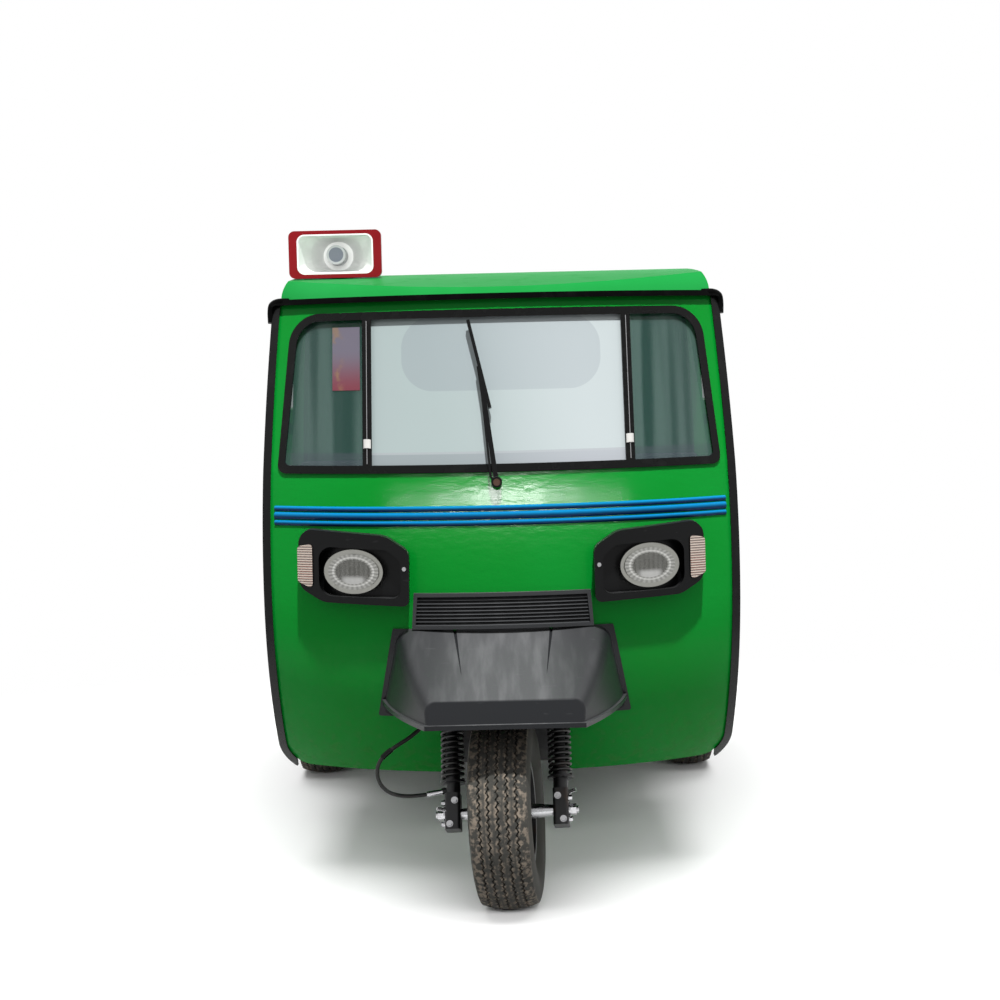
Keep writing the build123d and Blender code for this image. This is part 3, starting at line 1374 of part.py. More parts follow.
def steering_fork():
    """The stem, crown and both legs, with the hose's fittings."""
    width = 2 * (FORK_HALF_WIDTH + CROWN_OVERHANG)
    pieces = [
        rod(along(0, CROWN_START), along(0, STEM_END), STEM_RADIUS),
        extrude(steer_plane(0, CROWN_START) * SlotOverall(width, CROWN_DEPTH), amount=CROWN_THICKNESS),
    ]
    for side in (-1, 1):
        pieces += fork_leg(side * FORK_HALF_WIDTH)
    spindle = rod(along(-2 * FORK_HALF_WIDTH, 0), along(2 * FORK_HALF_WIDTH, 0), FRONT_SHAFT_RADIUS)
    return fuse(pieces + hose_fittings()) - spindle


def fork_spring(side):
    """One coil spring round a fork leg."""
    height = SPRING_END - SPRING_START
    helix = Helix(pitch=height / SPRING_TURNS, height=height, radius=SPRING_RADIUS)
    start = Plane(origin=helix @ 0, z_dir=helix % 0)
    coil = sweep(start * Circle(SPRING_WIRE), path=helix, is_frenet=True)
    return steer_plane(side * FORK_HALF_WIDTH, SPRING_START).location * coil


def front_axle():
    """The wheel spindle with its tapered spacers, end nuts and washers."""
    hub = HUB_HALF_LENGTH + SEAT_GAP
    inner = FORK_HALF_WIDTH - CLAMP_HALF_WIDTH - SEAT_GAP
    outer = FORK_HALF_WIDTH + CLAMP_HALF_WIDTH + SEAT_GAP
    reach = outer + SPINDLE_OVERHANG
    pieces = [rod(along(-reach, 0), along(reach, 0), FRONT_SHAFT_RADIUS - SPINDLE_SLIP)]
    for side in (-1, 1):
        spacer = Plane(origin=along(side * hub, 0), z_dir=(side, 0, 0))
        length = inner - hub
        pieces.append(spacer * Pos(0, 0, length / 2) * Cone(*SPACER_RADII, length))
        nut = Plane(origin=along(side * outer, 0), z_dir=(side, 0, 0))
        pieces.append(extrude(nut * Circle(WASHER_RADIUS), amount=WASHER_THICKNESS))
        pieces.append(extrude(nut * RegularPolygon(NUT_RADIUS, 6), amount=NUT_HEIGHT))
    return fuse(pieces)


def bar_points():
    """The handlebar's bends from end to end."""
    right = [along(x, STEM_END + up, back) for x, up, back in BAR_BENDS]
    left = [along(-x, STEM_END + up, back) for x, up, back in reversed(BAR_BENDS[1:])]
    return left + right[1:]


def handlebar():
    """The bent tube and its clamp on the stem."""
    path = FilletPolyline(*bar_points(), radius=BAR_BEND_RADIUS)
    tube = sweep(Plane(origin=path @ 0, z_dir=path % 0) * Circle(BAR_RADIUS), path=path)
    centre = STEM_END + BAR_BENDS[0][1]
    half = BAR_CLAMP_HALF_WIDTH
    clamp = rod(along(-half, centre), along(half, centre), BAR_RADIUS + BAR_CLAMP_WALL)
    low, high = STEM_END - BAR_POST_LENGTH, STEM_END + BAR_CLAMP_WALL
    post = rod(along(0, low), along(0, high), STEM_RADIUS + BAR_POST_WALL)
    return fuse([tube, clamp, post]) - rod(along(0, low - BAR_POST_LENGTH), along(0, STEM_END), STEM_RADIUS)


def grips():
    """The rubber sleeves over the handlebar's ends."""
    points = bar_points()
    sleeves = []
    for end, inner in ((points[0], points[1]), (points[-1], points[-2])):
        direction = (inner - end).normalized()
        outer = rod(end - direction * GRIP_END, end + direction * GRIP_LENGTH, GRIP_RADIUS)
        sleeves += solids(outer - rod(end, inner, BAR_RADIUS))
    return sleeves


def hose_points():
    """The hose's route in the part's frame."""
    return [Vector(x, at(y), z) for x, y, z in HOSE_ROUTE]


def hose_path():
    """The hose's centre line: straight runs joined by the largest arcs that they allow."""
    points = hose_points()
    radii = []
    for before, here, after in zip(points, points[1:], points[2:]):
        a, b = here - before, after - here
        turn = radians(a.get_angle(b))
        radii.append(RUN_SHARE * min(a.length, b.length) / tan(turn / 2))
    print("hose arc radii", [round(r) for r in radii])
    return FilletPolyline(*points, radius=radii)


def brake_hose():
    """The hose that loops out beside the front wheel."""
    path = hose_path()
    tube = sweep(Plane(origin=path @ 0, z_dir=path % 0) * Circle(HOSE_RADIUS), path=path)
    expected = pi * HOSE_RADIUS**2 * path.length
    print("hose length", round(path.length, 1), "volume ratio", round(tube.volume / expected, 4))
    return tube


def hose_fittings():
    """The unions at the two ends of the hose."""
    points = hose_points()
    fittings = []
    for end, inner in ((points[0], points[1]), (points[-1], points[-2])):
        back = (end - inner).normalized()
        fittings.append(rod(end, end + back * FITTING_LENGTH, HOSE_RADIUS + FITTING_WALL))
    return fittings


# Box, tailgate and ram


def box_tub():
    """The box's floor, front wall and side walls, open above and behind."""
    half, front, back = BED_HALF_WIDTH - RIB_PROUD, at(BED_FRONT + RIB_PROUD), at(BED_BACK)
    outer = block(-half, half, front, back, BED_FLOOR_Z, BED_TOP_Z)
    side, floor = half - BED_WALL, BED_FLOOR_Z + BED_WALL
    return outer - block(-side, side, front + BED_WALL, back + BED_WALL, floor, FAR)


def box_ribs():
    """The pressed ribs and edge rails on the box's sides and front."""
    half, front, back = BED_HALF_WIDTH - RIB_PROUD, at(BED_FRONT + RIB_PROUD), at(BED_BACK)
    pitch = (back - front - RIB_WIDTH) / (RIB_COUNT - 1)
    sides = []
    for index in range(RIB_COUNT):
        y = front + index * pitch
        sides.append(block(half, half + RIB_PROUD, y, y + RIB_WIDTH, BED_FLOOR_Z, BED_TOP_Z))
    sides.append(block(half, half + RIB_PROUD, front, back, BED_TOP_Z - RAIL_CAP, BED_TOP_Z))
    sides.append(block(half, half + RIB_PROUD, front, back, BED_FLOOR_Z, BED_FLOOR_Z + RAIL_CAP))
    ribs = sides + [mirrored(piece) for piece in sides]
    front_pitch = 2 * half / FRONT_RIB_COUNT
    for index in range(FRONT_RIB_COUNT):
        x = -half + (index + 0.5) * front_pitch
        x0, x1 = x - RIB_WIDTH / 2, x + RIB_WIDTH / 2
        ribs.append(block(x0, x1, front - RIB_PROUD, front, BED_FLOOR_Z, BED_TOP_Z))
    ribs.append(block(-half, half, front - RIB_PROUD, front, BED_TOP_Z - RAIL_CAP, BED_TOP_Z))
    return ribs


def box_bearer():
    """The +X bearer under the floor, bored for the tipping pin."""
    x0, x1 = RAIL_X - BEARER_WIDTH / 2, RAIL_X + BEARER_WIDTH / 2
    beam = block(x0, x1, at(BED_FRONT + BEARER_FRONT), at(BED_BACK), BEARER_Z, BED_FLOOR_Z)
    return beam - cross_rod(x0 - 1, x1 + 1, at(TIP_PIVOT_Y), TIP_PIVOT_Z, TIP_PIN_RADIUS + RUNNING_CLEARANCE)


def gate_ear():
    """The +X ear on the box's back corner and the pin that the tailgate turns on."""
    half = BED_HALF_WIDTH - RIB_PROUD
    y, z, r = at(GATE_PIVOT_Y), GATE_PIVOT_Z, GATE_EAR_RADIUS
    x0, x1 = half - GATE_EAR_WIDTH, half
    plate = block(x0, x1, at(BED_BACK) - GATE_EAR_ROOT, y, BED_TOP_Z - GATE_EAR_ROOT, z + r)
    foot = block(x0, x1, at(BED_BACK) - GATE_EAR_ROOT, y + r, BED_TOP_Z - GATE_EAR_ROOT, z)
    pin = cross_rod(half - GATE_PIN_REACH[1], half - GATE_PIN_REACH[0], y, z, GATE_PIN_RADIUS)
    return [plate, foot, cross_rod(x0, x1, y, z, r), pin]


def ram_ears():
    """The pair of ears under the box's floor that the ram's eye lies between."""
    y, z = RAM_EYE
    ears = []
    for x in (-BOX_EAR_X, BOX_EAR_X):
        x0, x1 = x - RAM_EAR / 2, x + RAM_EAR / 2
        y0, y1 = at(y - BOX_EAR_HALF_DEPTH), at(y + BOX_EAR_HALF_DEPTH)
        ear = block(x0, x1, y0, y1, z - BOX_EAR_DROP, BED_FLOOR_Z)
        ears.append(ear - cross_rod(x0 - 1, x1 + 1, at(y), z, RAM_EYE_BORE))
    return ears


def bed_box():
    """The open steel box with its ribs, bearers, hinge ears and ram ears."""
    half = [box_bearer()] + gate_ear()
    return fuse([box_tub()] + box_ribs() + half + [mirrored(piece) for piece in half] + ram_ears())


def tailgate():
    """The back door, hung from a barrel along its top edge, with cross ribs."""
    half = BED_HALF_WIDTH - RIB_PROUD - GATE_SIDE_GAP
    y0, y1 = at(BED_BACK) + GATE_CLEARANCE, at(BED_BACK) + GATE_THICKNESS
    y, z = at(GATE_PIVOT_Y), GATE_PIVOT_Z
    low, high = BED_FLOOR_Z + GATE_RIB_BOTTOM, GATE_PIVOT_Z - GATE_RIB_TOP
    edge = half - GATE_RIB_EDGE
    pieces = [
        block(-half, half, y0, y1, BED_FLOOR_Z + GATE_BOTTOM_GAP, z),
        cross_rod(-half, half, y, z, GATE_BARREL_RADIUS),
    ]
    for rib_z in (low, (low + high - RIB_WIDTH) / 2, high - RIB_WIDTH):
        pieces.append(block(-edge, edge, y1, y1 + GATE_RIB_PROUD, rib_z, rib_z + RIB_WIDTH))
    for x in (-edge + RIB_WIDTH / 2, 0, edge - RIB_WIDTH / 2):
        x0, x1 = x - RIB_WIDTH / 2, x + RIB_WIDTH / 2
        pieces.append(block(x0, x1, y1, y1 + GATE_RIB_PROUD, low, high))
    depth = GATE_PIN_REACH[1]
    bore = cross_rod(half - depth, half + 1, y, z, GATE_PIN_RADIUS + RUNNING_CLEARANCE)
    return fuse(pieces) - bore - mirrored(bore)


def ram_plane(distance):
    """A plane square to the ram, at a distance from its base pivot towards the eye."""
    (y0, z0), (y1, z1) = RAM_BASE, RAM_EYE
    return Plane(origin=(0, at(y0), z0), x_dir=(1, 0, 0), z_dir=(0, y1 - y0, z1 - z0)).offset(distance)


def ram_barrel():
    """The tipping ram's barrel and base eye."""
    y, z = at(RAM_BASE[0]), RAM_BASE[1]
    start = RAM_BARREL_START
    tube = extrude(ram_plane(start) * Circle(RAM_RADIUS), amount=RAM_BARREL_LENGTH - start)
    neck = extrude(ram_plane(0) * Circle(RAM_BASE_EYE_RADIUS), amount=start + 1)
    eye = cross_rod(-RAM_RADIUS, RAM_RADIUS, y, z, RAM_BASE_EYE_RADIUS)
    rod_section = Circle(RAM_ROD_RADIUS + RUNNING_CLEARANCE)
    bore = extrude(ram_plane(RAM_ROD_INSET - RAM_ROD_STOP) * rod_section, amount=RAM_LENGTH)
    hole = cross_rod(-2 * RAM_RADIUS, 2 * RAM_RADIUS, y, z, RAM_PIN_RADIUS + RUNNING_CLEARANCE)
    return fuse([tube, eye, neck]) - bore - hole


def ram_rod():
    """The tipping ram's rod and the eye that meets the box."""
    y, z = at(RAM_EYE[0]), RAM_EYE[1]
    half = RAM_EYE_HALF_WIDTH
    shaft = extrude(ram_plane(RAM_ROD_INSET) * Circle(RAM_ROD_RADIUS), amount=RAM_LENGTH - RAM_ROD_INSET)
    eye = cross_rod(-half, half, y, z, RAM_EYE_RADIUS)
    return shaft + eye - cross_rod(-2 * half, 2 * half, y, z, RAM_EYE_BORE)


# Rear guards, bumper and lamps


def rear_guard():
    """The +X mudguard: a curved strip over the wheel on two stays from the chassis rail."""
    x0, x1 = (REAR_TRACK / 2 + reach for reach in REAR_GUARD_SPAN)
    inner, outer = REAR_GUARD_RADIUS, REAR_GUARD_RADIUS + REAR_GUARD_WALL
    first, last = (radians(angle) for angle in REAR_GUARD_ANGLES)
    middle = (first + last) / 2

    def point(radius, angle):
        return Vector(0, REAR_AXLE_Y + radius * cos(angle), TYRE_RADIUS + radius * sin(angle))

    edges = [
        Edge.make_three_point_arc(point(inner, first), point(inner, middle), point(inner, last)),
        Edge.make_line(point(inner, last), point(outer, last)),
        Edge.make_three_point_arc(point(outer, last), point(outer, middle), point(outer, first)),
        Edge.make_line(point(outer, first), point(inner, first)),
    ]
    pieces = [across(Face(Wire(edges)), x0, x1)]
    for angle in STAY_ANGLES:
        spot = point((inner + outer) / 2, radians(angle))
        pieces.append(cross_rod(rail_sides()[1], x0 + STAY_LAP, spot.Y, spot.Z, STAY_RADIUS))
    return fuse(pieces)


def rear_bumper():
    """The lamp bar behind the box on two arms under the rails."""
    (z0, z1), (y0, y1) = BUMPER_Z, BUMPER_Y
    pieces = [block(-BUMPER_HALF, BUMPER_HALF, at(y0), at(y1), z0, z1)]
    for x in (-RAIL_X, RAIL_X):
        x0, x1 = x - BUMPER_ARM_HALF_WIDTH, x + BUMPER_ARM_HALF_WIDTH
        pieces.append(block(x0, x1, at(BUMPER_ARM_FRONT), at(y0), z0, z1))
        pieces.append(block(x0, x1, at(BUMPER_ARM_FRONT), at(RAIL_BACK - BUMPER_ARM_GAP), z1, RAIL_HIGH_Z))
    shape = fuse(pieces)
    middle = (z0 + z1) / 2
    for x in (-PLATE_HOLE_SPACING / 2, PLATE_HOLE_SPACING / 2):
        shape = shape - rod((x, at(y0) - 1, middle), (x, at(y1) + 1, middle), PLATE_HOLE_RADIUS)
    return shape


def tail_lamp():
    """The +X tail lamp on the bumper's face."""
    x0, x1 = TAIL_LAMP_X - TAIL_LAMP_HALF_WIDTH, TAIL_LAMP_X + TAIL_LAMP_HALF_WIDTH
    z0, z1 = BUMPER_Z[0] - TAIL_LAMP_OVERHANG, BUMPER_Z[1] + TAIL_LAMP_OVERHANG
    lamp = block(x0, x1, at(BUMPER_Y[1]), at(BUMPER_Y[1] + TAIL_LAMP_DEPTH), z0, z1)
    return fillet(lamp.faces().sort_by(Axis.Y)[-1].edges(), TAIL_LAMP_RADIUS)


# Every node by name. Pieces of a pair that don't touch share a node.
NODES = {
    "front_panel": front_panel,
    "edge_beading": edge_beading,
    "windscreen_seal": windscreen_seal,
    "windscreen_glass": windscreen_glass,
    "blue_trim": blue_trim,
    "headlamp_bezels": lambda: both_sides(headlamp_bezel()),
    "headlamp_reflectors": lambda: both_sides(headlamp_reflector()),
    "headlamp_lenses": lambda: both_sides(headlamp_lens()),
    "indicator_lenses": lambda: both_sides(indicator_lens()),
    "step_grille": step_grille,
    "front_mudguard": front_mudguard,
    "wiper": wiper,
    "roof_panel": roof_panel,
    "roof_gutter": roof_gutter,
    "horn_shell": horn_shell,
    "horn_bell": horn_bell,
    "horn_bracket": horn_bracket,
    "cab_floor": cab_floor,
    "wheel_housing": wheel_housing,
    "rear_bulkhead": rear_bulkhead,
    "rear_window": rear_window,
    "dashboard": dashboard,
    "seat_base": seat_base,
    "battery_pack": battery_pack,
    "seat_cushion": seat_cushion,
    "seat_backrest": seat_backrest,
    "chassis_frame": chassis_frame,
    "cross_members": cross_members,
    "steering_head": steering_head,
    "ram_bracket": ram_bracket,
    "leaf_springs": lambda: both_sides(leaf_spring()),
    "rear_axle": rear_axle,
    "rear_mudguards": lambda: both_sides(rear_guard()),
    "rear_bumper": rear_bumper,
    "tail_lamps": lambda: both_sides(tail_lamp()),
    "steering_fork": lambda: steered(steering_fork()),
    "fork_springs": lambda: [steered(s) for side in (-1, 1) for s in solids(fork_spring(side))],
    "front_axle": lambda: steered(front_axle()),
    "handlebar": lambda: steered(handlebar()),
    "handlebar_grips": lambda: [steered(s) for s in grips()],
    "brake_hose": lambda: steered(brake_hose()),
    "front_tyre": lambda: place_front(tyre()),
    "front_rim": lambda: place_front(rim(FRONT_SHAFT_RADIUS)),
    "rear_tyre_left": lambda: place_rear(tyre(), 1),
    "rear_rim_left": lambda: place_rear(rim(REAR_SHAFT_RADIUS), 1),
    "rear_tyre_right": lambda: place_rear(tyre(), -1),
    "rear_rim_right": lambda: place_rear(rim(REAR_SHAFT_RADIUS), -1),
    "bed_box": bed_box,
    "tailgate": tailgate,
    "ram_barrel": ram_barrel,
    "ram_rod": ram_rod,
}


def main():
    os.makedirs("parts", exist_ok=True)
    for name, make in NODES.items():
        export_step(Compound(solids(make())), f"parts/{name}.step")


main()
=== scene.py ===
# %% [markdown]
# # A green electric refuse carrier, dressed piece by piece
# The solids of the carrier come from CAD and are loaded as a fixed frame. This lesson adds what CAD leaves
# plain: tyre tread, a padded seat, lamp bowls, fasteners, a rubber hose, and a procedural finish for every
# surface. Everything is in metres, +Z is up, and the carrier faces -Y.

# %% Load the frame
import cmath
import math
import bpy
import bmesh
from mathutils import Matrix, Vector


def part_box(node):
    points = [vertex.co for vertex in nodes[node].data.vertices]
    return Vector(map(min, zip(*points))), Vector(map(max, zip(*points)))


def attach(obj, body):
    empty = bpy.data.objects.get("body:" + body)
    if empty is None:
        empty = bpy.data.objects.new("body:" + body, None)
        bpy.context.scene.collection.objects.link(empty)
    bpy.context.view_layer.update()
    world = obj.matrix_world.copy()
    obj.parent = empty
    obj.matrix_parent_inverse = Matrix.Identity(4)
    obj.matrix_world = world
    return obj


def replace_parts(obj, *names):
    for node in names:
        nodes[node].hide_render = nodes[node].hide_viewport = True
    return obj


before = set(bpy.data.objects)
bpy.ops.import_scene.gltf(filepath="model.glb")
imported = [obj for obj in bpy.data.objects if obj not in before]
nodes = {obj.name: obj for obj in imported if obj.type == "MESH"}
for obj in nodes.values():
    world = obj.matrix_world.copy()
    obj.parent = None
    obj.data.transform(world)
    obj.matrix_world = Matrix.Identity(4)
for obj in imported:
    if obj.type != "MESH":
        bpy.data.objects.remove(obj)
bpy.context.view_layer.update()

# %% [markdown]
# ## Node sums
# A finish is easier to read as a sum than as a web of links. `Signal` wraps one node's socket, so that `1 -
# dust * 0.4` adds the Math nodes by itself. `Web` adds any node to a tree by one method, and `Finish` is the
# web of one material.

# %% Signals, webs and finishes
class Signal:
    """A value on its way through a node tree."""

    def __init__(self, web, socket):
        self.web, self.socket = web, socket

    def sum(self, operation, a, b):
        return self.web.node("ShaderNodeMath", {"operation": operation}, {0: a, 1: b})

    def one(self, operation):
        return self.web.node("ShaderNodeMath", {"operation": operation}, {0: self})

    def __add__(self, other):
        return self.sum("ADD", self, other)

    def __sub__(self, other):
        return self.sum("SUBTRACT", self, other)

    def __rsub__(self, other):
        return self.sum("SUBTRACT", other, self)

    def __mul__(self, other):
        return self.sum("MULTIPLY", self, other)

    def __truediv__(self, other):
        return self.sum("DIVIDE", self, other)

    def __abs__(self):
        return self.one("ABSOLUTE")

    __radd__ = __add__
    __rmul__ = __mul__

    def over(self, floor):
        return self.sum("MAXIMUM", self, floor)

    def span(self, other):
        """The length of a diagonal."""
        return (self * self + other * other).one("SQRT")

    def wave(self):
        """A sine wave from 0 to 1."""
        return self.one("SINE") * 0.5 + 0.5


class Web:
    """A node tree that is added to node by node."""

    def __init__(self, tree):
        self.tree = tree

    def put(self, socket, value):
        if isinstance(value, Signal):
            self.tree.links.new(value.socket, socket)
        elif socket.type == "RGBA":
            socket.default_value = (*value[:3], 1.0)
        else:
            socket.default_value = value

    def node(self, kind, settings=None, values=None, out=0):
        """Any node: its settings are set first, then the values or links of its sockets."""
        made = self.tree.nodes.new(kind)
        for key, value in (settings or {}).items():
            setattr(made, key, value)
        for key, value in (values or {}).items():
            self.put(made.inputs[key], value)
        return Signal(self, made.outputs[out])


class Finish(Web):
    """One procedural material and the nodes in it."""

    def __init__(self, name, shine=0.5, rough=0.5):
        self.material = bpy.data.materials.new(name)
        self.material.use_nodes = True
        super().__init__(self.material.node_tree)
        self.shader = self.tree.nodes["Principled BSDF"]
        self.shader.inputs["Specular IOR Level"].default_value = shine
        self.paint(rough=rough)

    def place(self):
        return self.node("ShaderNodeTexCoord", out="Object")

    def axis(self, letter):
        return self.node("ShaderNodeSeparateXYZ", None, {0: self.place()}, letter)

    def facing(self, letter):
        """How much the surface faces along an axis."""
        normal = self.node("ShaderNodeNewGeometry", out="Normal")
        return self.node("ShaderNodeSeparateXYZ", None, {0: normal}, letter)

    def noise(self, scale, detail=3.0, rough=0.55, stretch=None):
        spot = self.place()
        if stretch:
            spot = self.node("ShaderNodeVectorMath", {"operation": "MULTIPLY"}, {0: spot, 1: stretch})
        values = {"Vector": spot, "Scale": scale, "Detail": detail, "Roughness": rough}
        return self.node("ShaderNodeTexNoise", None, values)

    def between(self, value, low, high):
        """0 below low, 1 above high, and smooth in between."""
        settings = {"interpolation_type": "SMOOTHSTEP"}
        return self.node("ShaderNodeMapRange", settings, {"Value": value, "From Min": low, "From Max": high})

    def patches(self, scale, detail, low, high):
        """Noise as patches with soft edges."""
        return self.between(self.noise(scale, detail), low, high)

    def mix(self, share, a, b):
        return self.node("ShaderNodeMix", {"data_type": "RGBA"}, {0: share, 6: a, 7: b}, 2)

    def bump(self, height, depth, strength):
        return self.node("ShaderNodeBump", None, {"Height": height, "Distance": depth, "Strength": strength})

    def grain(self, scale, detail, depth, strength):
        """Noise as a bump."""
        return self.bump(self.noise(scale, detail), depth, strength)

    def paint(self, colour=None, rough=None, normal=None, metal=None, alpha=None, coat=None):
        names = ("Base Color", "Roughness", "Normal", "Metallic", "Alpha", "Coat Weight")
        for socket, value in zip(names, (colour, rough, normal, metal, alpha, coat)):
            if value is not None:
                self.put(self.shader.inputs[socket], value)
        return self


print("node helpers ready")

# %% [markdown]
# ## The camera
# The picture is a straight front view from a little below roof height, with a slight lean. The focal length
# and distance come from the known tyre size and from how much smaller the rear wheels look than the front
# one.

# %% Camera
WHEELBASE, HUB_HIGH = 2.0, 0.258
CAMERA_AWAY, CAMERA_HIGH = 5.80, 1.495
PITCH, LEAN = math.radians(3.85), math.radians(1.35)
FOCAL_PX, PICTURE_PX, SENSOR = 2170.0, 1000.0, 36.0


def stand(name, data):
    """Adds an object to the scene."""
    made = bpy.data.objects.new(name, data)
    bpy.context.collection.objects.link(made)
    return made


rear_low, rear_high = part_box("rear_tyre_left")
REAR_AXLE = (rear_low[1] + rear_high[1]) / 2
FRONT_AXLE = REAR_AXLE - WHEELBASE
camera_data = bpy.data.cameras.new("camera")
camera_data.sensor_width = SENSOR
camera_data.lens = SENSOR * FOCAL_PX / PICTURE_PX
camera = stand("camera", camera_data)
turn = Matrix.Rotation(math.pi / 2 - PITCH, 4, "X") @ Matrix.Rotation(-LEAN, 4, "Z")
camera.matrix_world = Matrix.Translation((0.0, FRONT_AXLE - CAMERA_AWAY, CAMERA_HIGH)) @ turn
bpy.context.scene.camera = camera
print("front axle at y", round(FRONT_AXLE, 3), "lens", round(camera_data.lens, 1))

# %% [markdown]
# ## Making pieces
# Every added piece ends the same way: a plain mesh at the origin, a finish, a body to ride on and a material
# slot. `on_face` finds where a straight line from the front meets a CAD solid, so that small fittings sit on
# its skin.

# %% Piece helpers
SIDES = ((1, "left"), (-1, "right"))
SHARP = math.radians(40)


def keep(name, mesh, body, finish=None):
    """Keeps a mesh as a piece that rides on a body."""
    mesh.name = name
    if finish:
        mesh.materials.append(finish.material)
    piece = stand(name, mesh)
    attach(piece, body)
    return piece


def plain_mesh(work):
    """A mesh from a bmesh, smooth but for its sharp edges."""
    mesh = bpy.data.meshes.new("mesh")
    work.to_mesh(mesh)
    work.free()
    mesh.polygons.foreach_set("use_smooth", [True] * len(mesh.polygons))
    mesh.set_sharp_from_angle(angle=SHARP)
    return mesh


def skin(points, faces):
    """A mesh from points and faces with its normals turned outwards."""
    mesh = bpy.data.meshes.new("skin")
    mesh.from_pydata([Vector(p) for p in points], [], faces)
    work = bmesh.new()
    work.from_mesh(mesh)
    bpy.data.meshes.remove(mesh)
    bmesh.ops.recalc_face_normals(work, faces=work.faces)
    return plain_mesh(work)


def ring_faces(rows, wide, closed=False, first=0):
    """Faces between rows of points that go round; closed joins the last row to the first one."""
    faces = []
    for row in range(rows if closed else rows - 1):
        here, there = first + row * wide, first + (row + 1) % rows * wide
        for j in range(wide):
            k = (j + 1) % wide
            faces.append((here + j, there + j, there + k, here + k))
    return faces


def loft(points, wide):
    """Points and faces of a skin over rows of points that go round, its ends filled."""
    ends = [tuple(range(wide)), tuple(range(len(points) - 1, len(points) - wide - 1, -1))]
    return points, ring_faces(len(points) // wide, wide) + ends


def sweep(path, section):
    """A loft of a closed section, (across, out) pairs, along (place, across, out) stations."""
    return loft([p + side * a + out * b for p, side, out in path for a, b in section], len(section))


def on_face(node, x, z, back=False):
    """Where a line along Y meets a CAD solid at X and Z, and the skin's normal there."""
    start, way = (5.0, -1.0) if back else (-5.0, 1.0)
    found, place, normal, _ = nodes[node].ray_cast(Vector((x, start, z)), Vector((0, way, 0)))
    if not found:
        raise ValueError(f"no {node} at {x}, {z}")
    return place, normal


def tube_mesh(points, radius, sides):
    """A round tube along points, with its ends filled."""
    points = [Vector(p) for p in points]
    path = []
    side = None
    for index, point in enumerate(points):
        before, after = points[max(index - 1, 0)], points[min(index + 1, len(points) - 1)]
        along = (after - before).normalized()
        side = along.orthogonal() if side is None else side - along * side.dot(along)
        side.normalize()
        path.append((point, side.copy(), along.cross(side)))
    angles = [2 * math.pi * i / sides for i in range(sides)]
    return skin(*sweep(path, [(radius * math.cos(a), radius * math.sin(a)) for a in angles]))


def smooth_line(points, steps):
    """A smooth line through points, with steps between each pair."""
    points = [Vector(p) for p in points]
    line = []
    for index in range(len(points) - 1):
        a, b = points[max(index - 1, 0)], points[index]
        c, d = points[index + 1], points[min(index + 2, len(points) - 1)]
        for step in range(steps):
            t = step / steps
            square, cube = a * 2 - b * 5 + c * 4 - d, b * 3 - a - c * 3 + d
            line.append((b * 2 + (c - a) * t + square * t**2 + cube * t**3) / 2)
    return line + [points[-1]]


print("piece helpers ready")

# %% [markdown]
# ## The brake hose
# The hose is a fixed length of rubber that leaves the fork's lower clamp, swings out beside the wheel and
# comes back to the crown. The CAD route's points are repeated here as the control points of one smooth curve.

# %% Brake hose
HOSE_ROUTE = [
    (-0.176, 0.024, 0.318), (-0.228, 0.015, 0.311), (-0.285, 0.005, 0.313), (-0.328, -0.002, 0.330),
    (-0.350, -0.005, 0.369), (-0.342, -0.003, 0.414), (-0.306, 0.008, 0.444), (-0.250, 0.032, 0.472),
    (-0.204, 0.052, 0.510), (-0.168, 0.086, 0.540),
]
HOSE_LENGTH, HOSE_DIAMETER = 0.478, 0.011
RAKE, REST_STEER = math.radians(24.0), math.radians(-6.0)
wheel_centre = Vector((0.0, FRONT_AXLE, HUB_HIGH))
steer_axis = Vector((0.0, math.sin(RAKE), math.cos(RAKE)))
spin = Matrix.Rotation(REST_STEER, 4, steer_axis)
steered = Matrix.Translation(wheel_centre) @ spin @ Matrix.Translation(-wheel_centre)
hose_points = [steered @ (Vector(p) + Vector((0, FRONT_AXLE, 0))) for p in HOSE_ROUTE]

hose_curve = bpy.data.curves.new("brake_hose_rubber", "CURVE")
hose_curve.dimensions = "3D"
hose_curve.bevel_resolution = 5
hose_curve.resolution_u = 12
hose_curve.use_fill_caps = True
line = hose_curve.splines.new("NURBS")
line.points.add(len(hose_points) - 1)
for point, place in zip(line.points, hose_points):
    point.co = (*place, 1.0)
    point.radius = HOSE_DIAMETER / 2
line.order_u = 3
line.use_endpoint_u = True
hose = stand("brake_hose_rubber", hose_curve)
hose_line = [v.co.copy() for v in bpy.data.meshes.new_from_object(hose).vertices]
hose_curve.bevel_depth = 1.0  # times each point's radius, which the curve's box is measured with
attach(hose, "steering")
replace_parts(hose, "brake_hose")
print("hose points", len(hose_points), "line", len(hose_line))
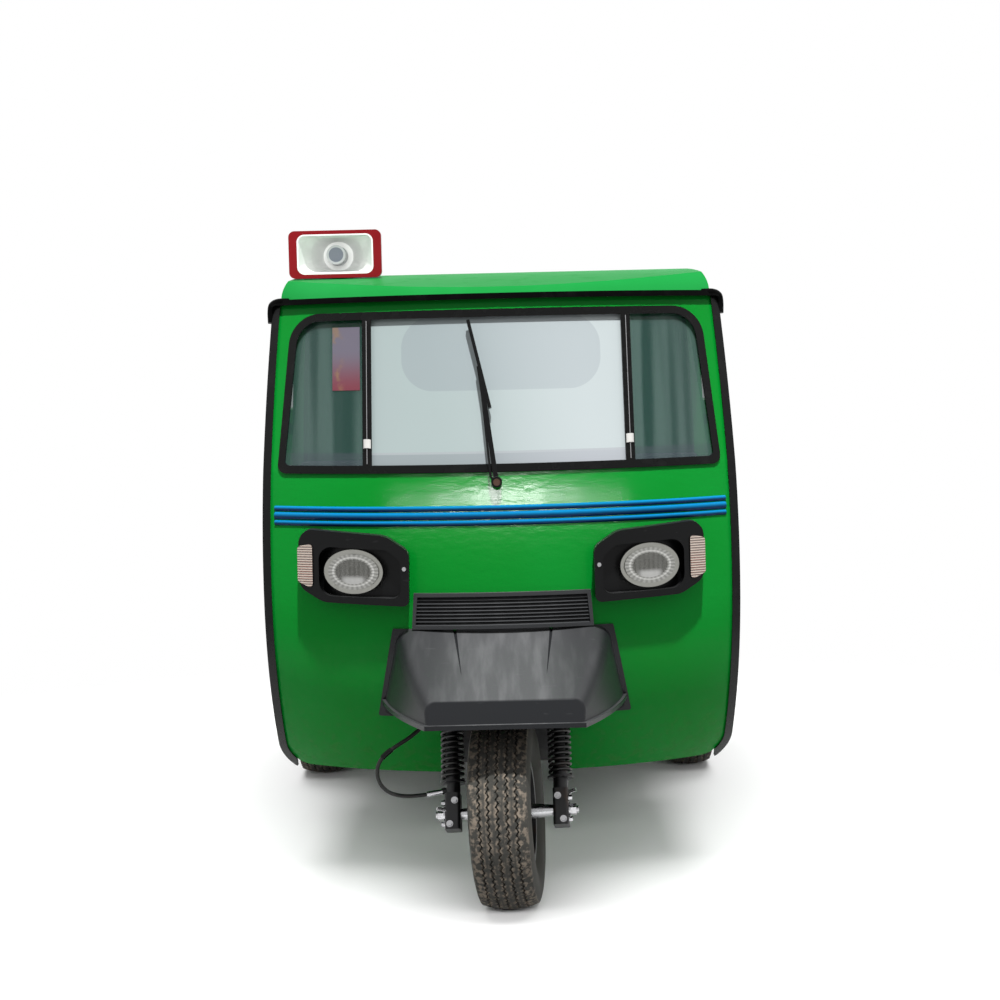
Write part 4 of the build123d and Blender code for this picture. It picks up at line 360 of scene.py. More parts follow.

# %% [markdown]
# ## Paint
# The cab and box are sprayed green over pressed steel. Paint on such a carrier is glossy but not flat: it has
# a faint orange peel over slow ripples, broad fading, dust on what faces up, and road dirt that is masked by
# height. The roof has a duller paint of its own: worn matt on top, and a painted sheen along its rolled front
# edge, whose colour is painted far lighter than the top.

# %% Green paint
def green_paint(name, tone, faded):
    finish = Finish(name, 0.06)
    green = finish.mix(finish.patches(2.2, 2.0, 0.35, 0.70) * 0.5, tone, faded)
    above = finish.between(finish.facing("Z"), 0.55, 0.95) * finish.patches(6.0, 4.0, 0.35, 0.65)
    green = finish.mix(above * 0.45, green, (0.13, 0.22, 0.12))
    low = finish.between(finish.axis("Z"), 0.62, 0.30) * finish.patches(38.0, 4.0, 0.42, 0.75)
    colour = finish.mix(low * 0.25, green, (0.11, 0.12, 0.06))
    specks = finish.patches(160.0, 2.0, 0.72, 0.78)
    colour = finish.mix(specks * 0.30, colour, (0.02, 0.10, 0.02))
    ripple = finish.noise(26.0, 2.0, 0.5, (1.0, 1.0, 2.2))
    peel = finish.bump(finish.noise(220.0, 1.0) * 0.2 + ripple, 0.0016, 0.30)
    return finish.paint(colour, 0.15 + above * 0.30 + low * 0.30, peel)


def roof_paint_with_painted_sheen():
    finish = Finish("roof_green_paint", 0.02)
    broad = finish.patches(3.0, 3.0, 0.35, 0.70)
    # painted sheen: the rolled front edge is painted far lighter than the top, as if lit and glossy
    edge = finish.mix(broad, (0.034, 0.700, 0.130), (0.050, 0.780, 0.165))
    top = finish.mix(broad, (0.012, 0.255, 0.050), (0.026, 0.300, 0.075))
    dust = finish.patches(14.0, 5.0, 0.52, 0.74) * 0.22
    top = finish.mix(dust, top, (0.15, 0.28, 0.15))
    colour = finish.mix(finish.between(finish.facing("Z"), 0.30, 0.75), edge, top)
    return finish.paint(colour, 0.42 + dust, finish.grain(220.0, 1.0, 0.0004, 0.20))


cab_green = green_paint("cab_green_paint", (0.002, 0.300, 0.026), (0.006, 0.350, 0.044))
roof_green = roof_paint_with_painted_sheen()
box_green = green_paint("box_green_paint", (0.008, 0.230, 0.026), (0.020, 0.270, 0.050))
print("paints:", cab_green.material.name, roof_green.material.name, box_green.material.name)

# %% [markdown]
# ## Black mouldings and rubber
# Three blacks sit side by side on the nose: grained plastic round the lamps, softer rubber in the seals, and
# the mudguard, whose top is grey with scuffs and dust and also with a painted sheen that fades towards its
# sides. Each has its own roughness, grain and wear.

# %% Blacks
def grained_plastic(name, tone, dust, rough, shine=0.16):
    finish = Finish(name, shine)
    # dust and scuffs on what faces up; on the mudguard this grey top, thinned towards its sides, is also a
    # painted sheen
    up_side = finish.between(finish.facing("Z"), 0.55, 0.90)
    smear = finish.between(finish.noise(34.0, 3.0, 0.5, (1.0, 0.16, 0.16)), 0.40, 0.78)
    scratch = finish.between(finish.noise(90.0, 2.0, 0.5, (0.15, 1.0, 1.0)), 0.68, 0.73)
    sheen_and_wear_middle = finish.between(abs(finish.axis("X")), 0.215, 0.070) * 0.55 + 0.45
    wear = up_side * sheen_and_wear_middle * (0.62 + smear * 0.38) * dust + scratch * dust * 0.10
    colour = finish.mix(wear, tone, (0.195, 0.198, 0.202))
    return finish.paint(colour, rough + wear * 0.5, finish.grain(420.0, 2.0, 0.0005, 0.30))


def soft_rubber(name, tone, rough, shine=0.08):
    finish = Finish(name, shine)
    chalk = finish.patches(26.0, 3.0, 0.50, 0.85)
    colour = finish.mix(chalk * 0.08, tone, (0.070, 0.072, 0.070))
    return finish.paint(colour, rough + chalk * 0.2, finish.grain(300.0, 2.0, 0.0004, 0.2))


lamp_plastic = grained_plastic("lamp_surround_plastic", (0.004, 0.0042, 0.0045), 0.40, 0.30, 0.15)
step_plastic = grained_plastic("step_plastic", (0.050, 0.052, 0.055), 0.30, 0.42)
guard_plastic = grained_plastic("mudguard_plastic", (0.016, 0.017, 0.019), 0.72, 0.34)
seal_rubber = soft_rubber("seal_rubber", (0.004, 0.0042, 0.0042), 0.26, 0.13)
gutter_rubber = soft_rubber("gutter_rubber", (0.002, 0.002, 0.002), 0.30, 0.03)
hose_rubber = soft_rubber("hose_rubber", (0.020, 0.020, 0.019), 0.34, 0.20)
grip_rubber = soft_rubber("grip_rubber", (0.014, 0.014, 0.015), 0.55)
print("blacks ready")

# %% [markdown]
# ## Metals
# Painted chassis steel carries dust and a little rust. Bright parts are bare: bolts, the spindle and lamp
# bowls.

# %% Metals
def chassis_metal(name, tone, rust):
    finish = Finish(name)
    patch = finish.patches(16.0, 5.0, 0.58, 0.72) * rust
    dust = finish.patches(5.0, 3.0, 0.45, 0.80) * 0.22
    colour = finish.mix(dust, finish.mix(patch, tone, (0.16, 0.065, 0.025)), (0.13, 0.12, 0.10))
    grain = finish.grain(140.0, 3.0, 0.0006, 0.25)
    return finish.paint(colour, 0.42 + dust * 0.4 + patch * 0.3, grain, 0.25 - patch * 0.2)


def bright_metal(name, tone, rough):
    finish = Finish(name)
    smear = finish.noise(45.0, 4.0)
    colour = finish.mix(finish.between(smear, 0.60, 0.85), tone, (0.16, 0.15, 0.13))
    return finish.paint(colour, rough + finish.between(smear, 0.4, 0.8) * 0.15, metal=1.0)


black_metal = chassis_metal("chassis_black", (0.011, 0.011, 0.012), 0.14)
rim_metal = chassis_metal("rim_black", (0.016, 0.016, 0.018), 0.14)
spring_steel = chassis_metal("spring_black", (0.010, 0.010, 0.010), 0.08)
bright_steel = bright_metal("bright_steel", (0.40, 0.40, 0.41), 0.22)
lamp_silver = bright_metal("lamp_silver", (0.52, 0.52, 0.50), 0.20)
lamp_rim = bright_metal("lamp_rim", (0.30, 0.30, 0.275), 0.30)
copper_nut = bright_metal("copper_nut", (0.11, 0.065, 0.050), 0.40)
print("metals ready")

# %% [markdown]
# ## Glass
# The windscreen is three panes whose film colour is partly painted light. The middle one is pale as a painted
# sky reflection that lightens towards the right, with a faint haze in its roughness. The rear window behind
# it is painted on as a darker rounded shape, and the dash at its foot as a darker band with a painted
# highlight along its edge. The side ones are darker, with painted upright streaks of reflection, and the cab
# is seen through them.
# One finish covers all three: the pane is told by its X place.

# %% Windscreen glass
def screen_glass():
    finish = Finish("windscreen_painted_light", 0.30)
    x, z = finish.axis("X"), finish.axis("Z")
    side = finish.between(abs(x), 0.362, 0.370)
    corner_x, corner_z = (abs(x - 0.012) - 0.190).over(0.0), (abs(z - 1.500) - 0.015).over(0.0)
    window = finish.between(corner_x.span(corner_z), 0.0905, 0.0885)
    # painted reflection: the middle pane is painted as a pale sky reflection, lighter to the right and higher
    # up
    pale = finish.between(x + z * 0.15, 0.00, 0.48)
    middle = finish.mix(pale, (0.475, 0.565, 0.560), (0.640, 0.710, 0.720))
    # painted shade: the rear window behind is painted on the pane as a darker rounded shape
    painted_window_shade = finish.mix(pale, (0.395, 0.460, 0.480), (0.520, 0.580, 0.605))
    middle = finish.mix(window * 0.75, middle, painted_window_shade)
    # painted view of the dash through the pane's foot: a darker band, with a painted highlight along its edge
    painted_dash_view = finish.between(z, 1.2290, 1.2275)
    painted_dash_highlight = painted_dash_view * finish.between(z, 1.2215, 1.2230)
    middle = finish.mix(painted_dash_view * 0.6, middle, finish.mix(pale, (0.30, 0.33, 0.36), (0.46, 0.47, 0.53)))
    middle = finish.mix(painted_dash_highlight * 0.5, middle, (0.58, 0.62, 0.64))
    # painted reflections: upright light and dark streaks on the side panes
    painted_streak_reflection = finish.between(finish.noise(7.0, 1.0, 0.4, (3.0, 0.1, 0.12)), 0.42, 0.62)
    shade = finish.between(abs(x), 0.40, 0.60)
    outer = finish.mix(painted_streak_reflection, (0.024, 0.076, 0.066), (0.110, 0.190, 0.172))
    outer = finish.mix(shade * 0.4, outer, (0.11, 0.175, 0.160))
    outer = finish.mix(painted_dash_view * 0.5, outer, (0.10, 0.115, 0.15))
    haze = finish.patches(3.0, 4.0, 0.45, 0.80)
    return finish.paint(finish.mix(side, middle, outer), 0.07 + haze * 0.06, alpha=0.94 - side * 0.36)


def rear_glass():
    finish = Finish("back_window_glass")
    smear = finish.patches(30.0, 3.0, 0.45, 0.80)
    colour = finish.mix(smear * 0.4, (0.42, 0.47, 0.48), (0.45, 0.44, 0.40))
    return finish.paint(colour, 0.06 + smear * 0.12, alpha=smear * 0.12 + 0.55)


windscreen_painted_light, back_glass = screen_glass(), rear_glass()
print("glass ready")

# %% [markdown]
# ## Lamp glass
# A headlamp's lens has a pale fluted ring round a clearer middle, told apart by the distance from the lamp's
# centre measured on an ellipse, and a glint painted low in the middle. The indicators are ribbed level, with
# an orange tint between the ribs.

# %% Lamp glass
LAMP_X, LAMP_Z, LAMP_WIDE, LAMP_HIGH = 0.409, 0.906, 0.071, 0.049


def lamp_glass():
    finish = Finish("lamp_glass")
    across = (abs(finish.axis("X")) - LAMP_X) / LAMP_WIDE
    rise = (finish.axis("Z") - LAMP_Z) / LAMP_HIGH
    out = across.span(rise)
    flute = (rise.sum("ARCTAN2", rise, across) * 30.0).wave()
    ring = finish.between(out, 0.66, 0.74)
    ribs = (across * 34.0).wave()
    # painted glint: a bright patch low in the clear middle of the lens
    painted_glint = finish.between(rise, -0.15, -0.45) * finish.between(abs(across), 0.60, 0.25) * (1 - ring)
    clear = finish.mix(ribs * 0.5, (0.13, 0.13, 0.115), (0.25, 0.25, 0.23))
    clear = finish.mix(painted_glint * 0.85, clear, (0.80, 0.80, 0.78))
    pale = finish.mix(flute * 0.6, (0.28, 0.28, 0.26), (0.50, 0.50, 0.47))
    pale = finish.mix(finish.between(abs(out - 0.80), 0.06, 0.02) * 0.7, pale, (0.70, 0.70, 0.67))
    normal = finish.bump(flute * ring + ribs * 0.3 * (1 - ring), 0.0012, 0.5)
    return finish.paint(finish.mix(ring, clear, pale), 0.10, normal, alpha=0.62 + ring * 0.30, coat=0.3)


def turn_glass():
    finish = Finish("turn_lamp_glass")
    rib = (finish.axis("Z") * (2 * math.pi / 0.0068)).wave()
    orange = finish.between(abs(finish.axis("Z") - 0.905), 0.040, 0.010)
    line = finish.mix(orange, (0.17, 0.10, 0.08), (0.24, 0.075, 0.045))
    colour = finish.mix(finish.between(rib, 0.55, 0.90), (0.64, 0.53, 0.45), line)
    return finish.paint(colour, 0.16, finish.bump(rib, 0.0020, 0.7), alpha=0.92, coat=0.6)


lens_glass, turn_lens = lamp_glass(), turn_glass()
print("lamp glass ready")

# %% [markdown]
# ## Bright colours and cab trim
# Moulded colours share one recipe: a tone, a stain that gathers in patches, and a slight waviness. The blue
# beads have painted light and shade: the side of each bead that faces up is painted bright and the side that
# faces down dark, with grime patches darkening it further. The horn's bell has a grey cap in its middle, told
# by the distance from its axis.

# %% Colours
WAVY = (120.0, 2.0, 0.0004, 0.2)


def gloss_plastic(name, tone, stain, rough, marked=None):
    """A moulded colour; marked may add a pattern to it."""
    finish = Finish(name, 0.30)
    grime = finish.patches(22.0, 4.0, 0.52, 0.85)
    colour = finish.mix(grime * 0.35, tone, stain)
    if marked:
        colour = marked(finish, colour)
    return finish.paint(colour, rough + grime * 0.2, finish.grain(*WAVY))


def horn_cap(finish, colour):
    low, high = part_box("horn_bell")
    across = finish.axis("X") - (low[0] + high[0]) / 2
    out = across.span(finish.axis("Z") - (low[2] + high[2]) / 2)
    cap = finish.between(out, 0.0225, 0.0210)
    ring = finish.between(out, 0.0300, 0.0285) * (1 - cap)
    return finish.mix(cap, finish.mix(ring, colour, (0.50, 0.51, 0.52)), (0.15, 0.17, 0.21))


def bead_blue():
    finish = Finish("trim_blue", 0.10)
    grime = finish.between(finish.noise(30.0, 4.0, 0.5, (1.0, 1.0, 6.0)), 0.50, 0.80) * 0.5
    # painted light and shade: what faces up is painted bright cyan, what faces down dark navy, with grime
    # patches below
    painted_lit_upper = finish.between(finish.facing("Z"), -0.25, 0.70)
    colour = finish.mix(painted_lit_upper, (0.001, 0.040, 0.130), (0.002, 0.260, 0.580))
    colour = finish.mix(grime * (1 - painted_lit_upper), colour, (0.001, 0.020, 0.050))
    return finish.paint(colour, 0.18, finish.grain(*WAVY))


def faded_card():
    finish = Finish("faded_card", rough=0.6)
    low = finish.between(finish.axis("Z"), 1.52, 1.40)
    colour = finish.mix(low, (0.17, 0.155, 0.20), (0.20, 0.045, 0.065))
    blotch = finish.patches(30.0, 2.0, 0.48, 0.66) * finish.between(finish.axis("X"), -0.425, -0.455)
    return finish.paint(finish.mix(blotch * 0.6, colour, (0.30, 0.19, 0.09)))


trim_blue, card_pink = bead_blue(), faded_card()
horn_white = gloss_plastic("horn_white", (0.88, 0.89, 0.87), (0.66, 0.65, 0.61), 0.45, horn_cap)
horn_red = gloss_plastic("horn_red", (0.38, 0.004, 0.010), (0.16, 0.01, 0.01), 0.32)
tail_red = gloss_plastic("tail_red", (0.45, 0.006, 0.006), (0.18, 0.01, 0.01), 0.18)
amber = gloss_plastic("amber_reflector", (0.62, 0.20, 0.01), (0.30, 0.08, 0.01), 0.18)
dash_grey = gloss_plastic("dash_grey", (0.16, 0.15, 0.19), (0.09, 0.09, 0.10), 0.62)
battery_case = gloss_plastic("battery_case", (0.05, 0.05, 0.055), (0.10, 0.09, 0.08), 0.55)
clip_white = gloss_plastic("clip_white", (0.78, 0.77, 0.74), (0.45, 0.42, 0.38), 0.35)
print("colours ready")

# %% [markdown]
# ## Dressing the CAD solids
# Where a solid already has the right shape, it only needs a finish. The table pairs each node with its own.

# %% Finish table
NODE_FINISH = {
    cab_green: ("front_panel", "cab_floor", "rear_bulkhead"),
    roof_green: ("roof_panel",),
    box_green: ("bed_box", "tailgate"),
    seal_rubber: ("edge_beading", "windscreen_seal"),
    gutter_rubber: ("roof_gutter",),
    windscreen_painted_light: ("windscreen_glass",),
    back_glass: ("rear_window",),
    lamp_plastic: ("headlamp_bezels", "wiper"),
    lamp_rim: ("headlamp_reflectors",),
    lens_glass: ("headlamp_lenses",),
    turn_lens: ("indicator_lenses",),
    step_plastic: ("step_grille",),
    guard_plastic: ("front_mudguard", "rear_mudguards"),
    horn_red: ("horn_shell",),
    horn_white: ("horn_bell",),
    black_metal: ("horn_bracket", "wheel_housing", "seat_base", "chassis_frame", "cross_members",
                  "steering_head", "ram_bracket", "rear_axle", "rear_bumper", "steering_fork", "handlebar",
                  "ram_barrel"),
    rim_metal: ("front_rim", "rear_rim_left", "rear_rim_right"),
    spring_steel: ("leaf_springs", "fork_springs"),
    bright_steel: ("front_axle", "ram_rod"),
    tail_red: ("tail_lamps",),
    dash_grey: ("dashboard",),
    battery_case: ("battery_pack",),
    grip_rubber: ("handlebar_grips",),
}
for finish, names in NODE_FINISH.items():
    for name in names:
        for place in nodes[name].material_slots:
            place.material = finish.material
hose.data.materials.append(hose_rubber.material)
print("dressed", sum(len(names) for names in NODE_FINISH.values()), "solids")

# %% [markdown]
# ## Tyres
# A rib tyre is a ring whose section is known, with zigzag grooves cut round it. A bump would look flat at the
# edge of the picture, so the grooves are real: the mesh has columns of points along each groove's edges, and
# the zigzag moves those columns sideways round the tyre. A point attribute tells the finish where pale dust
# clings.

# %% Tyre rubber
def tyre_rubber():
    finish = Finish("tyre_rubber", 0.2)
    dust = finish.patches(14.0, 5.0, 0.35, 0.70)
    clods = finish.patches(75.0, 3.0, 0.45, 0.62)
    colour = finish.mix(dust * 0.22, (0.056, 0.055, 0.050), (0.150, 0.142, 0.122))
    cling = finish.node("ShaderNodeAttribute", {"attribute_name": "cling"}, None, "Fac")
    colour = finish.mix(cling * clods * 0.80, colour, (0.40, 0.33, 0.26))
    return finish.paint(colour, 0.70 + dust * 0.2, finish.grain(240.0, 3.0, 0.0010, 0.4))


tyre_finish = tyre_rubber()
print("tyre rubber ready")

# %% Tyre builder
TYRE_R, BEAD_R, FOOT_R, SEAT_X, SIDE_X, SHOULDER = HUB_HIGH, 0.143, 0.1305, 0.062, 0.083, (0.075, 0.244)
GROOVES, RIB_MIDDLE, REAR_X = (-0.049, -0.025, 0.0, 0.025, 0.049), 0.0125, 0.656
GROOVE_DEEP, GROOVE_WIDE, GROOVE_BEVEL = 0.007, 0.0040, 0.0012
ZIGZAGS, STEPS, SWING = 84, 4, 0.0030


def arc_through(a, b, c, count):
    """Points of the circle through three points, from a to c."""
    a, b, c = (complex(*point) for point in (a, b, c))
    w = (c - a) / (b - a)
    centre = a + (b - a) * (w - abs(w) ** 2) / (w - w.conjugate())
    turned = cmath.phase((c - centre) / (a - centre))
    arc = [centre + (a - centre) * cmath.rect(1, turned * i / (count - 1)) for i in range(count)]
    return [(point.real, point.imag) for point in arc]


def crown(x):
    """The tread's radius at a distance from the tyre's middle."""
    return TYRE_R - (TYRE_R - SHOULDER[1]) * (x / SHOULDER[0]) ** 2


def tyre_columns():
    """The section's points, (x, radius, dust share, zigzag share), from one bead to the other."""
    wall = arc_through((SEAT_X, BEAD_R), (SIDE_X, (BEAD_R + SHOULDER[1]) / 2), SHOULDER, 12)
    wall_side = [(-SEAT_X, FOOT_R, 0.0, 0.0)] + [(-x, r, 0.0, 0.0) for x, r in wall]
    wall_side[-1] = (*wall_side[-1][:2], 0.6, 0.0)
    half = GROOVE_WIDE / 2
    edge = half + GROOVE_BEVEL
    tread = []
    for groove in GROOVES:
        for offset, deep, cling in ((-edge, 0.0, 0.9), (-half, GROOVE_DEEP, 0.35),
                                    (half, GROOVE_DEEP, 0.35), (edge, 0.0, 0.9)):
            x = groove + offset
            tread.append((x, crown(x) - deep, cling, 1.0))
        if groove != GROOVES[-1]:
            x = groove + RIB_MIDDLE
            tread.append((x, crown(x), 0.0, 0.0))
    return wall_side + tread + [(-x, r, c, z) for x, r, c, z in reversed(wall_side)]


def tyre_piece(name, place, body, node):
    columns = tyre_columns()
    around = ZIGZAGS * STEPS
    points = []
    for step in range(around):
        angle = 2 * math.pi * step / around
        wave = abs((step % STEPS) / STEPS * 2 - 1) * 2 - 1
        for x, r, _, zigzag in columns:
            spot = Vector((x + wave * SWING * zigzag, r * math.cos(angle), r * math.sin(angle)))
            points.append(place @ spot)
    mesh = skin(points, ring_faces(around, len(columns), True))
    cling = mesh.attributes.new("cling", "FLOAT", "POINT")
    cling.data.foreach_set("value", [column[2] for _ in range(around) for column in columns])
    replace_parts(keep(name, mesh, body, tyre_finish), node)


front_hub = Matrix.Translation(wheel_centre) @ spin
rear_hubs = {label: Matrix.Translation((side * REAR_X, REAR_AXLE, HUB_HIGH)) for side, label in SIDES}
tyre_piece("front_tyre_tread", front_hub, "front_wheel", "front_tyre")
for label, hub in rear_hubs.items():
    tyre_piece(f"rear_tyre_{label}_tread", hub, f"rear_wheel_{label}", f"rear_tyre_{label}")
print("tyre columns", len(tyre_columns()), "round", ZIGZAGS * STEPS)

# %% [markdown]
# ## Fasteners
# Nuts, screws and rivets repeat all over the carrier. One Geometry Nodes tree makes them all: each point of a
# plain point mesh carries an `aim` vector, and a head on a washer is set on it, turned to that aim.

# %% Fastener tree
def fastener_tree():
    tree = bpy.data.node_groups.new("fasteners", "GeometryNodeTree")
    sockets = (("Geometry", "Geometry"), ("Head radius", "Float"), ("Head height", "Float"), ("Sides", "Int"),
               ("Washer radius", "Float"), ("Finish", "Material"))
    for label, kind in sockets:
        tree.interface.new_socket(label, in_out="INPUT", socket_type="NodeSocket" + kind)
    tree.interface.new_socket("Geometry", in_out="OUTPUT", socket_type="NodeSocketGeometry")
    web = Web(tree)
    given = {socket.name: Signal(web, socket) for socket in tree.nodes.new("NodeGroupInput").outputs}

    def disc(sides, radius, depth):
        shape = {"Vertices": sides, "Radius": radius, "Depth": depth}
        return web.node("GeometryNodeMeshCylinder", None, shape, "Mesh")

    thin = given["Head height"] * 0.5
    head = disc(given["Sides"], given["Head radius"], given["Head height"])
    lift = web.node("ShaderNodeCombineXYZ", None, {"Z": thin})
    head = web.node("GeometryNodeTransform", None, {"Geometry": head, "Translation": lift})
    both = web.node("GeometryNodeJoinGeometry", None, {0: head})
    web.put(both.socket.node.inputs[0], disc(16, given["Washer radius"], thin))
    aim = {"data_type": "FLOAT_VECTOR"}
    aim = web.node("GeometryNodeInputNamedAttribute", aim, {"Name": "aim"}, "Attribute")
    faced = web.node("FunctionNodeAlignRotationToVector", {"axis": "Z"}, {"Vector": aim})
    copies = {"Points": given["Geometry"], "Instance": both, "Rotation": faced}
    copies = web.node("GeometryNodeInstanceOnPoints", None, copies)
    plain = web.node("GeometryNodeRealizeInstances", None, {"Geometry": copies})
    dressed = web.node("GeometryNodeSetMaterial", None, {"Geometry": plain, "Material": given["Finish"]})
    web.put(tree.nodes.new("NodeGroupOutput").inputs[0], dressed)
    return tree


FASTENERS = fastener_tree()


def fasten(name, spots, size, body, finish, sides=6):
    """Heads of a size (radius, height, washer radius) on spots, each a (place, aim)."""
    mesh = bpy.data.meshes.new(name + "_points")
    mesh.from_pydata([Vector(p) for p, _ in spots], [], [])
    aim = mesh.attributes.new("aim", "FLOAT_VECTOR", "POINT")
    aim.data.foreach_set("vector", [c for _, a in spots for c in Vector(a).normalized()])
    host = stand(name + "_host", mesh)
    modifier = host.modifiers.new("tree", "NODES")
    modifier.node_group = FASTENERS
    values = {"Head radius": size[0], "Head height": size[1], "Washer radius": size[2],
              "Sides": sides, "Finish": finish.material}
    for item in FASTENERS.interface.items_tree:
        if item.name in values:
            modifier[item.identifier] = values[item.name]
    graph = bpy.context.evaluated_depsgraph_get()
    shown = host.evaluated_get(graph)
    made = bpy.data.meshes.new_from_object(shown, preserve_all_data_layers=True, depsgraph=graph)
    bpy.data.objects.remove(host)
    keep(name, made, body)
    print(name, len(spots), "heads,", len(made.polygons), "faces")


print("fastener tree ready")

# %% [markdown]
# Wheel nuts sit on the studs of each disc, and a wheel's set rides on its own wheel. Small screws hold the
# lamp surrounds, and a copper nut holds the wiper. Rivets run along the rails of the box.

# %% Nuts, screws and rivets
NUT, NUTS, NUT_CIRCLE, NUT_FACE = (0.0105, 0.009, 0.013), 6, 0.062, 0.031
SCREW, WIPER_NUT, RIVET = (0.0055, 0.004, 0.006), (0.0085, 0.007, 0.010), (0.006, 0.004, 0.007)
RIVETS, RIVET_START, RIVET_STEP, RIVET_ROWS = 15, 0.04, 0.0955, (0.583, 1.307)


def nut_ring(place, side):
    spots = []
    for index in range(NUTS):
        angle = 2 * math.pi * (index + 0.5) / NUTS
        local = Vector((side * NUT_FACE, NUT_CIRCLE * math.cos(angle), NUT_CIRCLE * math.sin(angle)))
        spots.append((place @ local, place.to_3x3() @ Vector((side, 0, 0))))
    return spots


fasten("front_wheel_nuts", nut_ring(front_hub, 1), NUT, "front_wheel", bright_steel)
for side, label in SIDES:
    nuts = nut_ring(rear_hubs[label], side)
    fasten(f"rear_wheel_nuts_{label}", nuts, NUT, f"rear_wheel_{label}", bright_steel)
screws = [on_face("headlamp_bezels", x, 0.915) for x in (-0.266, 0.266)]
fasten("lamp_surround_screws", screws, SCREW, "body", bright_steel, sides=12)
fasten("wiper_nut", [on_face("wiper", -0.008, 1.146)], WIPER_NUT, "body", copper_nut, sides=10)

bed_low, bed_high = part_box("bed_box")
rivets = []
for side, face_x in ((-1, bed_low[0]), (1, bed_high[0])):
    for index in range(RIVETS):
        y = bed_low[1] + RIVET_START + index * RIVET_STEP
        rivets += [((face_x, y, z), (side, 0, 0)) for z in RIVET_ROWS]
fasten("bed_rivets", rivets, RIVET, "bed", box_green, 12)

# %% [markdown]
# ## Fork fittings
# The lower ends of the fork are busy with bright bolts: pinch bolts through each clamp, bleed nipples and the
# end of the brake hose. They are set on the clamps, square to the steering axis, and turn with the fork.

# %% Fork bolts
def on_fork(x, along, back):
    """A place in the fork's own directions: across, up the steering axis, and back square to it."""
    square = Vector((0, math.cos(RAKE), -math.sin(RAKE)))
    return steered @ (wheel_centre + Vector((x, 0, 0)) + steer_axis * along + square * back)


def fork_way(x, along, back):
    return on_fork(x, along, back) - on_fork(0, 0, 0)


PINCH_BOLT, NIPPLE = (0.0075, 0.010, 0.0095), (0.0055, 0.022, 0.007)
front_way = fork_way(0, 0, -1)
pinch = []
for side in (-1, 1):
    out_way = fork_way(side, 0, 0)
    for x, along, back, way in ((0.168, 0.030, -0.012, out_way), (0.168, -0.028, -0.010, out_way),
                                (0.140, 0.034, -0.026, front_way), (0.154, -0.030, -0.026, front_way)):
        pinch.append((on_fork(side * x, along, back), way))
fasten("fork_pinch_bolts", pinch, PINCH_BOLT, "steering", bright_steel)
nipples = [(on_fork(0.168, 0.048, 0.004), fork_way(1, 0.25, -0.4)),
           (on_fork(-0.168, 0.010, -0.020), fork_way(-1, 0.1, -0.4))]
fasten("brake_nipples", nipples, NIPPLE, "steering", bright_steel, sides=8)

# %% Hose sleeves
def hose_sleeve(name, share, radius, finish):
    """A sleeve round the hose between two shares of its length."""
    first, last = (round(s * (len(hose_line) - 1)) for s in share)
    return keep(name, tube_mesh(hose_line[first:last + 1], radius, 14), "steering", finish)


sleeves = [hose_sleeve("hose_lower_ferrule", (0.0, 0.055), 0.0078, bright_steel),
           hose_sleeve("hose_upper_ferrule", (0.945, 1.0), 0.0078, bright_steel),
           hose_sleeve("hose_sleeve", (0.60, 0.68), 0.0076, seal_rubber)]
print("hose sleeves", len(sleeves))

# %% [markdown]
# ## Windscreen fittings
# A bright strip runs down the middle of each upright, with a small clip low on it. A faded card is stuck to
# the glass on one side. All three follow the curve of the screen, because their points are taken from its
# skin.

# %% Strips, clips and card
def skin_station(node, x, z, lift=0.0):
    place, normal = on_face(node, x, z)
    side = Vector((0, 0, 1)).cross(normal).normalized()
    return place + normal * lift, side, normal


def bead(half, proud):
    """A low rounded section, half wide and proud high."""
    steps = [math.pi * i / 6 for i in range(7)]
    return [(half * math.cos(t), proud * math.sin(t)) for t in steps] + [(-half, -0.001), (half, -0.001)]


UPRIGHT_X, STRIP_Z, CLIP_Z = 0.366, (1.198, 0.398, 14), (1.241, 0.024, 3)
STRIP, CLIP = bead(0.0013, 0.0016), bead(0.0115, 0.007)
for side, label in SIDES[::-1]:
    for name, (start, tall, steps), lift, section, slot, finish in (
            ("screen_strip", STRIP_Z, 0.001, STRIP, "steel", bright_steel),
            ("screen_clip", CLIP_Z, 0.0, CLIP, "horn_white", clip_white)):
        heights = [start + tall * i / steps for i in range(steps + 1)]
        path = [skin_station("windscreen_seal", side * UPRIGHT_X, z, lift) for z in heights]
        keep(f"{name}_{label}", skin(*sweep(path, section)), "body", finish)

CARD_X, CARD_Z, CARD_LIFT, CARD_THICK = (-0.466, -0.386), (1.402, 1.580), 0.0012, Vector((0, 0.0011, 0))
COLUMNS, ROWS = 4, 7
card = []
for row in range(ROWS):
    z = CARD_Z[0] + (CARD_Z[1] - CARD_Z[0]) * row / (ROWS - 1)
    across = [CARD_X[0] + (CARD_X[1] - CARD_X[0]) * i / (COLUMNS - 1) for i in range(COLUMNS)]
    front = [skin_station("windscreen_glass", x, z, CARD_LIFT)[0] for x in across]
    card += front + [place + CARD_THICK for place in reversed(front)]
keep("window_card", skin(*loft(card, 2 * COLUMNS)), "body", card_pink)
print("windscreen fittings ready")

# %% [markdown]
# ## Blue beads
# Three moulded beads cross the nose. The solids are flat bands, and the real ones are half round: light
# catches the upper side of each, and its lower side is dark. So a half-round section is carried along the
# nose at the height of each band, a station every few centimetres, square to the panel's skin.

